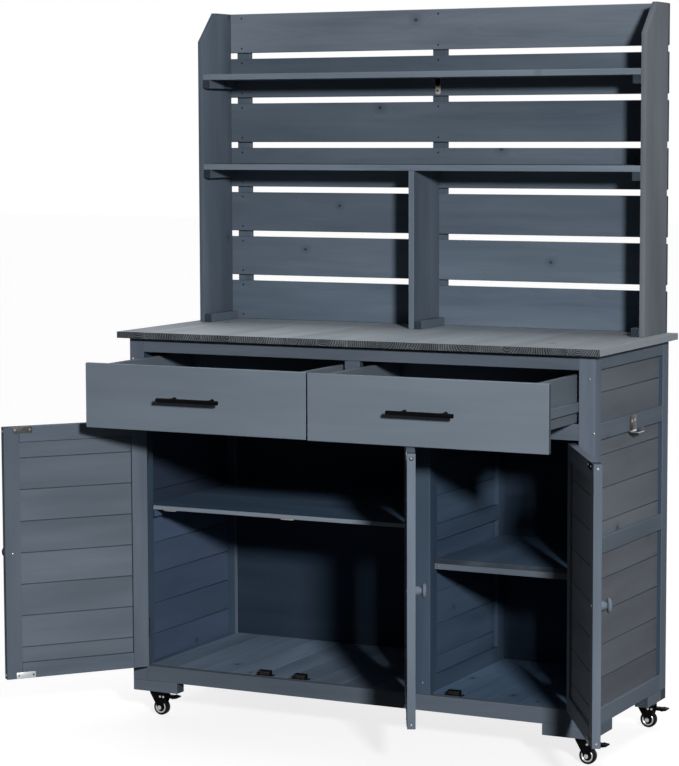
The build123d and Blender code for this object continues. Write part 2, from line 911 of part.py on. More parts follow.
caster_top = cabinet_bottom - foot_height
cup_top = caster_top - caster_plate_thickness
cup_bottom = cup_top - caster_cup_height
fork_top = cup_bottom - swivel_gap
fork_plate_bottom = fork_top - fork_sheet
kingpin_head_top = fork_plate_bottom - swivel_gap
fork_inner = wheel_width / 2 + wheel_side_gap
fork_outer = fork_inner + fork_leg_sheet
hub_radius = wheel_radius - tyre_thickness
fork_width = 2 * fork_outer
axle_bore = axle_radius + running_gap
pedal_bore = pedal_pin_radius + running_gap
caster_places = [
    ("front_left", -1, -1),
    ("front_right", 1, -1),
    ("rear_left", -1, 1),
    ("rear_right", 1, 1),
]


def caster_origin(x_side, y_side):
    """Point on the floor under a caster's kingpin."""
    return (x_side * (half_width - caster_inset), y_side * (cabinet_depth / 2 - caster_inset), 0)


def upright(origin, y, forward=0.0, height=0.0):
    """Plane that faces -Y at a caster, with its X along +X and its Y up."""
    return Plane((origin[0] + forward, origin[1] + y, height), x_dir=(1, 0, 0), z_dir=(0, -1, 0))


with BuildPart() as caster_plates:
    for name, x_side, y_side in caster_places:
        centre = Plane(caster_origin(x_side, y_side))
        half_plate = caster_plate_size / 2
        slab(centre, (-half_plate, half_plate), (-half_plate, half_plate), (cup_top, caster_top))
        rod(centre.offset(cup_bottom), caster_cup_radius, caster_cup_height)
        rod(centre.offset(kingpin_head_top), kingpin_radius, cup_bottom - kingpin_head_top)
        rod(centre.offset(kingpin_head_top - kingpin_head_height), kingpin_head_radius, kingpin_head_height)
save("caster_plates", caster_plates)

for name, x_side, y_side in caster_places:
    origin = caster_origin(x_side, y_side)
    centre = Plane(origin)

    with BuildPart() as caster_fork:
        slab(centre, (-fork_front, fork_back), (-fork_outer, fork_outer), (fork_plate_bottom, fork_top))
        with BuildSketch(upright(origin, fork_outer)) as leg:
            with BuildLine():
                Polyline(
                    (-fork_front, fork_top),
                    (-fork_front, fork_plate_bottom),
                    (wheel_trail - axle_head_radius - 1.0, wheel_radius),
                    (wheel_trail - axle_head_radius, wheel_radius - axle_head_radius),
                    (wheel_trail + axle_head_radius, wheel_radius - axle_head_radius),
                    (fork_back, pedal_pivot_height - 2 * pedal_pin_radius),
                    (fork_back, fork_top),
                    close=True,
                )
            make_face()
        extrude(leg.sketch, amount=fork_leg_sheet)
        extrude(leg.sketch.moved(Location((0, -2 * fork_outer + fork_leg_sheet, 0))), amount=fork_leg_sheet)
        with Locations(centre.offset(fork_plate_bottom)):
            Cylinder(kingpin_radius + running_gap, 2 * fork_sheet, mode=Mode.SUBTRACT)
        with Locations(upright(origin, 0, wheel_trail, wheel_radius)):
            Cylinder(axle_bore, 2 * fork_width, mode=Mode.SUBTRACT)
        with Locations(upright(origin, 0, pedal_pivot_forward, pedal_pivot_height)):
            Cylinder(pedal_bore, 2 * fork_width, mode=Mode.SUBTRACT)
        axle_end = fork_outer + running_gap
        rod(upright(origin, axle_end, wheel_trail, wheel_radius), axle_radius, 2 * axle_end)
        for y in (axle_end + axle_head_height, -axle_end):
            rod(upright(origin, y, wheel_trail, wheel_radius), axle_head_radius, axle_head_height)
    save(f"caster_{name}_fork", caster_fork)

    with BuildPart() as caster_wheel:
        rod(
            upright(origin, wheel_width / 2, wheel_trail, wheel_radius),
            wheel_radius,
            wheel_width,
            bore=hub_radius + tyre_gap,
        )
        circles = caster_wheel.edges().filter_by(GeomType.CIRCLE)
        fillet(circles.filter_by(lambda edge: edge.radius > hub_radius + tyre_gap), radius=tyre_round)
        rod(
            upright(origin, wheel_width / 2, wheel_trail, wheel_radius),
            hub_radius,
            wheel_width,
            bore=axle_bore,
        )
    save(f"caster_{name}_wheel", caster_wheel)

    with BuildPart() as caster_pedal:
        for radius, half in (
            (pedal_pin_radius, fork_outer + running_gap),
            (pedal_hub_radius, fork_inner - joint_gap),
        ):
            rod(upright(origin, half, pedal_pivot_forward, pedal_pivot_height), radius, 2 * half)
        pad_start = pedal_tip - pedal_pad_length
        pedal_underside = pedal_pivot_height - pedal_hub_radius
        slab(
            centre,
            (pedal_pivot_forward, pad_start),
            (-pedal_arm_width / 2, pedal_arm_width / 2),
            (pedal_underside, pedal_underside + pedal_thickness),
        )
        with BuildSketch(upright(origin, pedal_pad_width / 2)) as wedge:
            with BuildLine():
                Polyline(
                    (pad_start, pedal_underside),
                    (pedal_tip, pedal_pivot_height - pedal_tip_thickness / 2),
                    (pedal_tip, pedal_pivot_height + pedal_tip_thickness / 2),
                    (pad_start, pedal_underside + pedal_thickness),
                    close=True,
                )
            make_face()
        extrude(wedge.sketch, amount=pedal_pad_width)
    save(f"caster_{name}_pedal", caster_pedal)
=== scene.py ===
"""Looks of the potting bench: stained softwood boards, black hardware and four small casters.

Metres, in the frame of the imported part: +Z is up, the front faces -Y and the floor is at zero.
"""

import json
import logging
import math
from collections.abc import Callable
from dataclasses import dataclass
from enum import Enum

import bmesh
import bpy
import numpy as np
from mathutils import Euler, Matrix, Vector

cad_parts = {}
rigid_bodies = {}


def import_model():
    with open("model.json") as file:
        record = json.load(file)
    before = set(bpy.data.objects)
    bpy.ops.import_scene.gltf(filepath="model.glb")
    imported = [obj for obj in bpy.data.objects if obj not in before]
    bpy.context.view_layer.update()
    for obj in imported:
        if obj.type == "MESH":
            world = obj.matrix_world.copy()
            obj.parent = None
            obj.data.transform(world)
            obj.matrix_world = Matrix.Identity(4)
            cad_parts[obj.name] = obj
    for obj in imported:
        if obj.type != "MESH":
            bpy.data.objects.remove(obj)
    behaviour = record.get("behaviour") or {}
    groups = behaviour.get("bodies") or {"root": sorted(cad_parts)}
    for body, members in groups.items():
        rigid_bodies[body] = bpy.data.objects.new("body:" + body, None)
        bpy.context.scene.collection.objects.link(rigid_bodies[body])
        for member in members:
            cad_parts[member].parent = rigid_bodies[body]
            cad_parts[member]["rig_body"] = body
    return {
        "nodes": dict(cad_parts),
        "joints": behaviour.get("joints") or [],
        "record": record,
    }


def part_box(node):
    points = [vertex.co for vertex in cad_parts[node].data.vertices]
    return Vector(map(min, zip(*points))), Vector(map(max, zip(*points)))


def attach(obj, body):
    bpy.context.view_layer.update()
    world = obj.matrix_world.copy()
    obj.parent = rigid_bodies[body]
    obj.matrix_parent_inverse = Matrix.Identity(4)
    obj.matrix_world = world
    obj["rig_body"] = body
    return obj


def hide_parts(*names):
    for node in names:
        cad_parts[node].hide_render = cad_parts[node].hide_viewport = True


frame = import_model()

log = logging.getLogger("potting_bench")

MM = 0.001
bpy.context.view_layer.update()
SLOT_OF = {part["node"]: part["material_slot"] for part in frame["record"]["subparts"]}
STREAK_SCALE = (3.0, 48.0, 48.0)
FIBRE_SCALE = (26.0, 1400.0, 1400.0)
BLOTCH_SCALE = (1.6, 9.0, 9.0)
WANDER_SCALE = (2.2, 11.0, 11.0)
RAGGED_SCALE = (150.0, 150.0, 0.0)
BOARD_SMOOTH_ANGLE = math.radians(40)
BEVEL_FROM_ANGLE = math.radians(35)
HEAD_SIDES = 14
SHOULDER_RADIUS, SHOULDER_HEIGHT = 0.86, 0.55
CROWN_RADIUS, CROWN_HEIGHT = 0.5, 0.45
CROSS_LENGTH, CROSS_WIDTH, CROSS_DEPTH, CROSS_LEVEL = 0.95, 0.22, 0.3, 0.88
HEAD_TURN = 0.7
FACES_FORWARD = -0.3
RIGHT, BACK, UP = Vector((1, 0, 0)), Vector((0, 1, 0)), Vector((0, 0, 1))
FORWARD = Vector((0, -1, 0))
Tint = tuple[int, int, int]
Outline = list[tuple[float, float]]
# A face's colour shift by its centre and normal; on several pieces it carries painted shade or painted light.
FaceCast = Callable[[Vector, Vector], Vector]


def linear(tint: Tint) -> tuple[float, float, float, float]:
    """Turn a display colour into the linear one that a shader reads.

    Args:
        tint: Red, green and blue from 0 to 255.

    Returns:
        The linear colour with an alpha of 1.
    """
    channels = (value / 255 for value in tint)
    return (*(c / 12.92 if c <= 0.04045 else ((c + 0.055) / 1.055) ** 2.4 for c in channels), 1.0)


class Wiring:
    """Adds nodes to one tree and joins them, so that a tree reads from top to bottom."""

    def __init__(self, tree: bpy.types.NodeTree) -> None:
        """Keep the tree that the nodes go into."""
        self.tree = tree

    def add(self, kind: str, inputs: dict | None = None, **settings: object) -> bpy.types.Node:
        """Add a node, set it up and fill its inputs.

        Args:
            kind: The node's Blender type.
            inputs: Values or sockets, by input name or by place among the inputs in use.
            settings: Properties of the node itself.

        Returns:
            The new node.
        """
        node = self.tree.nodes.new(kind)
        for key, value in settings.items():
            setattr(node, key, value)
        sockets = [socket for socket in node.inputs if socket.enabled]
        for key, value in (inputs or {}).items():
            socket = sockets[key] if isinstance(key, int) else next(s for s in sockets if s.name == key)
            if isinstance(value, bpy.types.NodeSocket):
                self.tree.links.new(value, socket)
            else:
                socket.default_value = value
        return node

    def out(
        self, kind: str, inputs: dict | None = None, result: str = "", **settings: object
    ) -> bpy.types.NodeSocket:
        """Add a node and return one of its outputs.

        Args:
            kind: The node's Blender type.
            inputs: Values or sockets for its inputs.
            result: The output's name; the first one in use when empty.
            settings: Properties of the node itself.

        Returns:
            The output socket.
        """
        node = self.add(kind, inputs, **settings)
        sockets = [socket for socket in node.outputs if socket.enabled]
        return next((s for s in sockets if s.name == result), sockets[0])

    def math(self, operation: str, *values: object) -> bpy.types.NodeSocket:
        """Work on single numbers with a Math node."""
        return self.out("ShaderNodeMath", dict(enumerate(values)), operation=operation)

    def vector(self, operation: str, *values: object) -> bpy.types.NodeSocket:
        """Work on vectors with a Vector Math node."""
        return self.out("ShaderNodeVectorMath", dict(enumerate(values)), operation=operation)

    def measure(self, operation: str, *values: object) -> bpy.types.NodeSocket:
        """Turn vectors into one number with a Vector Math node."""
        return self.out("ShaderNodeVectorMath", dict(enumerate(values)), result="Value", operation=operation)

    def swing(self, value: object, amount: float, base: object) -> bpy.types.NodeSocket:
        """Let a value from 0 to 1 move a base up and down by half the amount."""
        return self.math("MULTIPLY_ADD", self.math("SUBTRACT", value, 0.5), amount, base)

    def blend(self, share: object, first: object, second: object) -> bpy.types.NodeSocket:
        """Mix two colours, the second one by the given share."""
        return self.out("ShaderNodeMix", {"Factor": share, "A": first, "B": second}, data_type="RGBA")

    def noise(self, place: object, detail: float = 2.0, **settings: float) -> bpy.types.NodeSocket:
        """Smooth noise at a place that is already scaled."""
        inputs = {"Vector": place, "Scale": 1.0, "Detail": detail, **settings}
        return self.out("ShaderNodeTexNoise", inputs, result="Fac")

    def between(
        self, value: object, low: float, high: float, start: float = 0.0, end: float = 1.0
    ) -> bpy.types.NodeSocket:
        """Map a value from one range to another and clamp it there."""
        inputs = {0: value, 1: low, 2: high, 3: start, 4: end}
        return self.out("ShaderNodeMapRange", inputs)


def new_material(name: str) -> tuple[bpy.types.Material, Wiring, bpy.types.Node]:
    """Start a material with a Principled shader.

    Args:
        name: The material's name.

    Returns:
        The material, its wiring and its shader node.
    """
    material = bpy.data.materials.new(name)
    material.use_nodes = True
    return material, Wiring(material.node_tree), material.node_tree.nodes["Principled BSDF"]


@dataclass(frozen=True)
class StainedWood:
    """Thin stain over softwood: streaks, rings, knots, and a tone that differs from board to board."""

    name: str
    light: Tint
    dark: Tint
    rings: float = 0.12
    streaks: float = 0.55
    blotches: float = 0.9
    fibres: float = 0.15
    ring_pitch: float = 4.2 * MM
    worn: float = 0.12
    end_light: float = 0.6
    end_dark: float = 0.5
    end_rings: tuple[float, float] = (1.3, -0.55)
    roughness: float = 0.75
    shine: float = 0.06
    knot: Tint = (44, 49, 57)
    knot_share: float = 0.2
    knot_cell: tuple[float, float] = (0.32, 0.13)
    knot_pull: tuple[float, float] = (3 * MM, 45 * MM)
    knot_eye: tuple[float, float] = (3.5 * MM, 6.5 * MM)
    knot_halo: tuple[float, float] = (4 * MM, 22 * MM)

    def material(self) -> bpy.types.Material:
        """Build the material on the boards' own grain, end, rim, cast and tone attributes.

        Returns:
            The finished material.
        """
        material, wire, shader = new_material(self.name)
        links = material.node_tree.links
        grain = wire.out("ShaderNodeAttribute", result="Vector", attribute_name="grain")
        end, rim, tone = (
            wire.out("ShaderNodeAttribute", result="Fac", attribute_name=label) for label in (
                "end", "rim", "tone"
            )
        )
        cast = wire.out("ShaderNodeAttribute", result="Vector", attribute_name="cast")
        distance, chosen = self.knots(wire, grain, end)
        pull = wire.math("MULTIPLY", wire.between(distance, *self.knot_pull, 1.0, 0.0), chosen)
        late = self.late_wood(wire, grain, pull)

        streak = wire.noise(wire.vector("MULTIPLY", grain, STREAK_SCALE), 3.0)
        fibre = wire.noise(wire.vector("MULTIPLY", grain, FIBRE_SCALE), 2.0)
        blotch = wire.noise(wire.vector("MULTIPLY", grain, BLOTCH_SCALE), 3.0)
        shade = wire.swing(streak, self.streaks, 0.5)
        shade = wire.swing(blotch, self.blotches * 2, shade)
        shade = wire.math(
            "SUBTRACT", shade, wire.math("MULTIPLY", wire.math("SUBTRACT", late, 0.3), self.rings)
        )
        shade = wire.math(
            "ADD", shade, wire.math("MULTIPLY", wire.math("MULTIPLY_ADD", late, *self.end_rings), end)
        )
        shade = wire.between(wire.swing(fibre, self.fibres, shade), 0.0, 1.0)
        colour = wire.blend(shade, linear(self.dark), linear(self.light))

        cut = wire.between(shade, 0.0, 1.0, self.end_dark * self.end_light, self.end_light)
        level = wire.math(
            "MULTIPLY", tone, wire.math("MULTIPLY_ADD", wire.math("SUBTRACT", cut, 1.0), end, 1.0)
        )
        level = wire.math("MULTIPLY", level, wire.between(rim, 1.0, 2.0, 1.0, 1.0 + self.worn))
        colour = wire.out("ShaderNodeVectorMath", {"Vector": colour, "Scale": level}, operation="SCALE")
        colour = wire.vector("MULTIPLY", colour, wire.vector("ADD", cast, (1.0, 1.0, 1.0)))
        eye = wire.between(distance, *self.knot_eye, 0.9, 0.0)
        halo = wire.between(distance, *self.knot_halo, 0.3, 0.0)
        spot = wire.math("MULTIPLY", wire.math("MAXIMUM", eye, halo), chosen)
        knot = wire.vector("MULTIPLY", linear(self.knot)[:3], wire.vector("ADD", cast, (1.0, 1.0, 1.0)))
        links.new(wire.blend(spot, colour, knot), shader.inputs["Base Color"])

        rough = wire.swing(streak, 0.2, self.roughness)
        links.new(rough, shader.inputs["Roughness"])
        shader.inputs["Specular IOR Level"].default_value = self.shine
        height = wire.math("MULTIPLY_ADD", fibre, 0.6, wire.math("MULTIPLY", late, 0.4))
        height = wire.math("MULTIPLY_ADD", streak, 0.5, height)
        bump = wire.out("ShaderNodeBump", {"Strength": 0.4, "Distance": 0.3 * MM, "Height": height})
        links.new(bump, shader.inputs["Normal"])
        return material

    def knots(self, wire: Wiring, grain: object, end: object) -> tuple[
        bpy.types.NodeSocket, bpy.types.NodeSocket
    ]:
        """Scatter knots over the boards' faces.

        Args:
            wire: The material's wiring.
            grain: Place on the board, along the grain and across it.
            end: One on end grain, where no knot shows.

        Returns:
            The distance to the nearest knot, and whether that knot is there at all.
        """
        cell = wire.vector("MULTIPLY", grain, (1 / self.knot_cell[0], 1 / self.knot_cell[1], 0.0))
        spots = wire.add("ShaderNodeTexVoronoi", {"Vector": cell, "Scale": 1.0}, voronoi_dimensions="2D")
        away = wire.vector("SUBTRACT", cell, spots.outputs["Position"])
        away = wire.vector("MULTIPLY", away, (self.knot_cell[0], self.knot_cell[1] * 1.25, 0.0))
        away = wire.measure("LENGTH", away)
        chance = wire.add("ShaderNodeSeparateColor", {0: spots.outputs["Color"]})
        size = wire.between(chance.outputs["Green"], 0.0, 1.0, 0.8, 1.7)
        ragged = wire.math("SUBTRACT", wire.noise(wire.vector("MULTIPLY", grain, RAGGED_SCALE), 2.0), 0.5)
        distance = wire.math("MULTIPLY", wire.math("MULTIPLY_ADD", ragged, 5 * MM, away), size)
        chosen = wire.math("LESS_THAN", chance.outputs["Red"], self.knot_share)
        return distance, wire.math("MULTIPLY", chosen, wire.math("SUBTRACT", 1.0, end))

    def late_wood(self, wire: Wiring, grain: object, pull: object) -> bpy.types.NodeSocket:
        """Draw the yearly rings round a heart that lies under the board.

        Args:
            wire: The material's wiring.
            grain: Place on the board.
            pull: How strongly a knot bends the rings.

        Returns:
            How much late wood there is, from 0 to 1.
        """
        stretched = wire.vector("MULTIPLY", grain, WANDER_SCALE)
        wander = wire.out(
            "ShaderNodeTexNoise", {"Vector": stretched, "Scale": 1.0, "Detail": 2.0}, result="Color"
        )
        wander = wire.vector("MULTIPLY", wire.vector("SUBTRACT", wander, (0.5, 0.5, 0.5)), (0.0, 0.04, 0.04))
        heart = wire.vector("MULTIPLY", wire.vector("ADD", grain, wander), (0.0, 1.0, 1.0))
        radius = wire.measure("LENGTH", heart)
        radius = wire.math("MULTIPLY_ADD", pull, 2.2 * self.ring_pitch, radius)
        ring = wire.math("FRACT", wire.math("DIVIDE", radius, self.ring_pitch))
        return wire.math("MULTIPLY", wire.math("POWER", ring, 2.0), wire.between(ring, 0.85, 1.0, 1.0, 0.0))


@dataclass(frozen=True)
class Coat:
    """A smooth maker's finish such as powder coat, moulded plastic, rubber or plating."""

    name: str
    colour: Tint
    second: Tint
    metallic: float = 0.0
    roughness: float = 0.45
    shine: float = 0.5
    grain_size: float = 0.5 * MM
    relief: float = 0.03 * MM
    patch_size: float = 12 * MM

    def material(self) -> bpy.types.Material:
        """Build the material on Object coordinates: patches of tone and a fine orange-peel relief.

        Returns:
            The finished material.
        """
        material, wire, shader = new_material(self.name)
        place = wire.out("ShaderNodeTexCoord", result="Object")
        patch = wire.noise(wire.vector("MULTIPLY", place, (1 / self.patch_size,) * 3), 3.0)
        fine = wire.noise(wire.vector("MULTIPLY", place, (1 / self.grain_size,) * 3), 2.0)
        share = wire.math("MULTIPLY_ADD", fine, 0.4, wire.math("MULTIPLY", patch, 0.6))
        colour = wire.blend(wire.between(share, 0.35, 0.65), linear(self.colour), linear(self.second))
        links = material.node_tree.links
        links.new(colour, shader.inputs["Base Color"])
        rough = wire.between(patch, 0.3, 0.7, self.roughness - 0.08, self.roughness + 0.08)
        links.new(rough, shader.inputs["Roughness"])
        shader.inputs["Metallic"].default_value = self.metallic
        shader.inputs["Specular IOR Level"].default_value = self.shine
        bump = wire.out("ShaderNodeBump", {"Strength": 0.4, "Distance": self.relief, "Height": fine})
        links.new(bump, shader.inputs["Normal"])
        return material


WOODS = (
    StainedWood(
        "worktop_wood", (150, 157, 163), (112, 120, 127),
        worn=0.0, blotches=0.5, end_light=0.55, end_dark=0.2, ring_pitch=5.0 * MM,
    ),
    StainedWood("cabinet_wood", (100, 110, 122), (76, 85, 96)),
    StainedWood(
        "panel_wood", (107, 112, 119), (80, 85, 92), worn=-0.4, streaks=0.3, rings=0.06, knot_share=0.12
    ),
    StainedWood("hutch_wood", (93, 104, 116), (66, 77, 89), knot_share=0.35),
    StainedWood("drawer_wood", (116, 127, 138), (99, 109, 120), streaks=0.4, rings=0.05, knot_share=0.0),
    # Darker, bluer copy of the cabinet stain for parts deep inside the cabinet: painted shade.
    StainedWood("inner_wood", (84, 104, 127), (58, 76, 97), worn=-0.25, shine=0.03, knot_share=0.4),
)


class Coating(str, Enum):
    """The coated finishes, by name."""

    BLACK_METAL = "black_metal"
    BLACK_PLASTIC = "black_plastic"
    STEEL = "steel"
    HOOK_STEEL = "hook_steel"
    HOOK_LIP_PAINTED_SHADE = "hook_lip"
    ZINC_PAINTED_LIGHT = "zinc"
    TARNISH = "tarnish"
    WHEEL = "wheel"
    NAIL = "nail"


COATS = (
    Coat("black_metal", (2, 2, 3), (7, 7, 8), roughness=0.45, shine=0.035),
    Coat("black_plastic", (6, 6, 7), (12, 12, 13), roughness=0.5, shine=0.08, grain_size=0.8 * MM),
    Coat("steel", (186, 188, 190), (160, 162, 166), metallic=1.0, roughness=0.34),
    Coat(
        "hook_steel", (72, 66, 61), (38, 35, 33), metallic=0.3, roughness=0.45, shine=0.3, patch_size=5 * MM
    ),
    # Dark coat for the hook's lip: painted shade.
    Coat("hook_lip", (46, 52, 54), (34, 40, 42), roughness=0.5, shine=0.15, patch_size=5 * MM),
    # Pale zinc, lighter and shinier than the plating itself so that the brackets and plates show inside the
    # shelves' shadow: partly painted light.
    Coat(
        "zinc", (176, 168, 160), (142, 135, 128), metallic=0.35, roughness=0.5, shine=0.3, patch_size=8 * MM
    ),
    Coat("tarnish", (78, 76, 72), (54, 54, 54), metallic=0.4, roughness=0.5, shine=0.2, patch_size=6 * MM),
    Coat("wheel", (6, 6, 7), (13, 13, 14), roughness=0.6, shine=0.08, grain_size=1.2 * MM),
    Coat("nail", (12, 14, 18), (22, 25, 30), roughness=0.6, shine=0.05),
)


class Finishes:
    """Every material of the bench, made once and handed out by slot."""

    def __init__(self) -> None:
        """Build the wood and the coated finishes."""
        self.made = {finish.name: finish.material() for finish in WOODS + COATS}

    def __getitem__(self, slot: str) -> bpy.types.Material:
        """The material of a slot."""
        return self.made[slot]


@dataclass
class Board:
    """One square-edged board: where it is, how big it is, and how it is turned."""

    centre: Vector
    size: Vector
    turn: Euler


def middle_of(solid: tuple[np.ndarray, float]) -> tuple[float, ...]:
    """The middle of a solid's corner points, to a tenth of a millimetre."""
    return tuple(np.round(solid[0].mean(0), 4))


def solids_of(node: str) -> list[tuple[np.ndarray, float]]:
    """Take a node apart into its solids.

    Args:
        node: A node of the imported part.

    Returns:
        For each solid its corner points, and the turn about Z of its largest upright face.
    """
    shape = bmesh.new()
    shape.from_mesh(frame["nodes"][node].data)
    bmesh.ops.remove_doubles(shape, verts=shape.verts, dist=0.001 * MM)
    solids = []
    waiting = set(shape.verts)
    while waiting:
        search = [waiting.pop()]
        points, faces = [], {}
        while search:
            vertex = search.pop()
            points.append(vertex.co[:])
            for edge in vertex.link_edges:
                other = edge.other_vert(vertex)
                if other in waiting:
                    waiting.discard(other)
                    search.append(other)
            for face in vertex.link_faces:
                if abs(face.normal.z) < 0.1:
                    key = round(math.atan2(face.normal.y, face.normal.x) % (math.pi / 2), 3)
                    faces[key] = faces.get(key, 0.0) + face.calc_area()
        solids.append((np.array(points), max(faces, key=faces.get)))
    shape.free()
    return sorted(solids, key=middle_of)


def boards_of(node: str) -> list[Board]:
    """Read the boards that a node's solids stand for.

    Args:
        node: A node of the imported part.

    Returns:
        One board for each solid. Its size is given along the grain, which is its longest side, then across it
        and through it.
    """
    boards = []
    for points, turn in solids_of(node):
        axes = np.array(Matrix.Rotation(turn, 3, "Z"))
        spread = points @ axes
        low, high = spread.min(0), spread.max(0)
        order = list(np.argsort(low - high))
        frame_axes = Matrix([axes[:, axis] for axis in order]).transposed()
        if frame_axes.determinant() < 0:
            frame_axes.col[2] = -frame_axes.col[2]
        centre = Vector(axes @ ((low + high) / 2))
        boards.append(Board(centre, Vector((high - low)[order]), frame_axes.to_euler()))
    return boards


def placed(name: str, data: bpy.types.ID) -> bpy.types.Object:
    """Make an object and put it into the scene.

    Args:
        name: The object's name.
        data: Its mesh, lamp or camera.

    Returns:
        The object.
    """
    thing = bpy.data.objects.new(name, data)
    bpy.context.scene.collection.objects.link(thing)
    return thing


def mark(mesh: bpy.types.Mesh, name: str, vectors: list[Vector], domain: str = "POINT") -> None:
    """Write one vector for each point or face of a mesh."""
    layer = mesh.attributes.new(name, "FLOAT_VECTOR", domain)
    layer.data.foreach_set("vector", np.array([tuple(vector) for vector in vectors], np.float32).ravel())


def new_tree(name: str, inputs: dict[str, str]) -> tuple[Wiring, bpy.types.Node, bpy.types.Node]:
    """Start a Geometry Nodes tree with named inputs.

    Args:
        name: The tree's name.
        inputs: Each input's name and the kind of its socket.

    Returns:
        The wiring, the input node and the output node.
    """
    tree = bpy.data.node_groups.new(name, "GeometryNodeTree")
    tree.interface.new_socket("Geometry", in_out="INPUT", socket_type="NodeSocketGeometry")
    for label, kind in inputs.items():
        tree.interface.new_socket(label, in_out="INPUT", socket_type=f"NodeSocket{kind}")
    tree.interface.new_socket("Geometry", in_out="OUTPUT", socket_type="NodeSocketGeometry")
    wire = Wiring(tree)
    return wire, wire.add("NodeGroupInput"), wire.add("NodeGroupOutput")


def stored(
    wire: Wiring, shape: object, name: str, value: object, kind: str, domain: str = "POINT"
) -> bpy.types.NodeSocket:
    """Keep a value on a shape under a name.

    Args:
        wire: The tree's wiring.
        shape: The geometry socket.
        name: The attribute's name.
        value: What to keep.
        kind: The attribute's data type.
        domain: POINT or FACE.

    Returns:
        The geometry with the attribute.
    """
    inputs = {"Geometry": shape, "Name": name, "Value": value}
    return wire.out("GeometryNodeStoreNamedAttribute", inputs, data_type=kind, domain=domain)


def named(wire: Wiring, name: str, kind: str = "FLOAT_VECTOR") -> bpy.types.NodeSocket:
    """Read an attribute by its name."""
    return wire.out("GeometryNodeInputNamedAttribute", {"Name": name}, data_type=kind)


def grown(
    name: str, seeds: bpy.types.Mesh, tree: bpy.types.NodeTree, inputs: dict[str, object]
) -> bpy.types.Object:
    """Run a tree on a mesh of points and keep the result as a plain mesh.

    Args:
        name: The new object's name.
        seeds: The points, with the attributes that the tree reads.
        tree: The Geometry Nodes tree.
        inputs: Values for the tree's named inputs.

    Returns:
        An object at the origin with no modifier.
    """
    piece = placed(name, seeds)
    modifier = piece.modifiers.new("grow", "NODES")
    modifier.node_group = tree
    for item in tree.interface.items_tree:
        if item.item_type == "SOCKET" and item.in_out == "INPUT" and item.name in inputs:
            modifier[item.identifier] = inputs[item.name]
    graph = bpy.context.evaluated_depsgraph_get()
    mesh = bpy.data.meshes.new_from_object(
        piece.evaluated_get(graph), preserve_all_data_layers=True, depsgraph=graph
    )
    piece.modifiers.remove(modifier)
    piece.data = mesh
    mesh.name = name
    bpy.data.meshes.remove(seeds)
    for label in ("centre", "size", "turn", "shift", "level"):
        if label in mesh.attributes:
            mesh.attributes.remove(mesh.attributes[label])
    return piece


def seed_points(name: str, places: list[Vector], vectors: dict[str, list[Vector]]) -> bpy.types.Mesh:
    """Make a mesh of loose points with vector attributes.

    Args:
        name: The mesh's name.
        places: Where the points are.
        vectors: Attribute values, one for each point.

    Returns:
        The mesh.
    """
    mesh = bpy.data.meshes.new(name)
    mesh.from_pydata([tuple(place) for place in places], [], [])
    for label, values in vectors.items():
        mark(mesh, label, values)
    return mesh


def settle(piece: bpy.types.Object, body: str, slot: str, *nodes: str) -> bpy.types.Object:
    """Let a finished piece ride on its body and hide the nodes of the part that it replaces.

    Args:
        piece: The finished object.
        body: The body it moves with.
        slot: The record's material slot; not used.
        nodes: The nodes of the part that it replaces.

    Returns:
        The piece.
    """
    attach(piece, body)
    if nodes:
        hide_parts(*nodes)
    log.info("%s: %d faces on %s", piece.name, len(piece.data.polygons), body)
    return piece


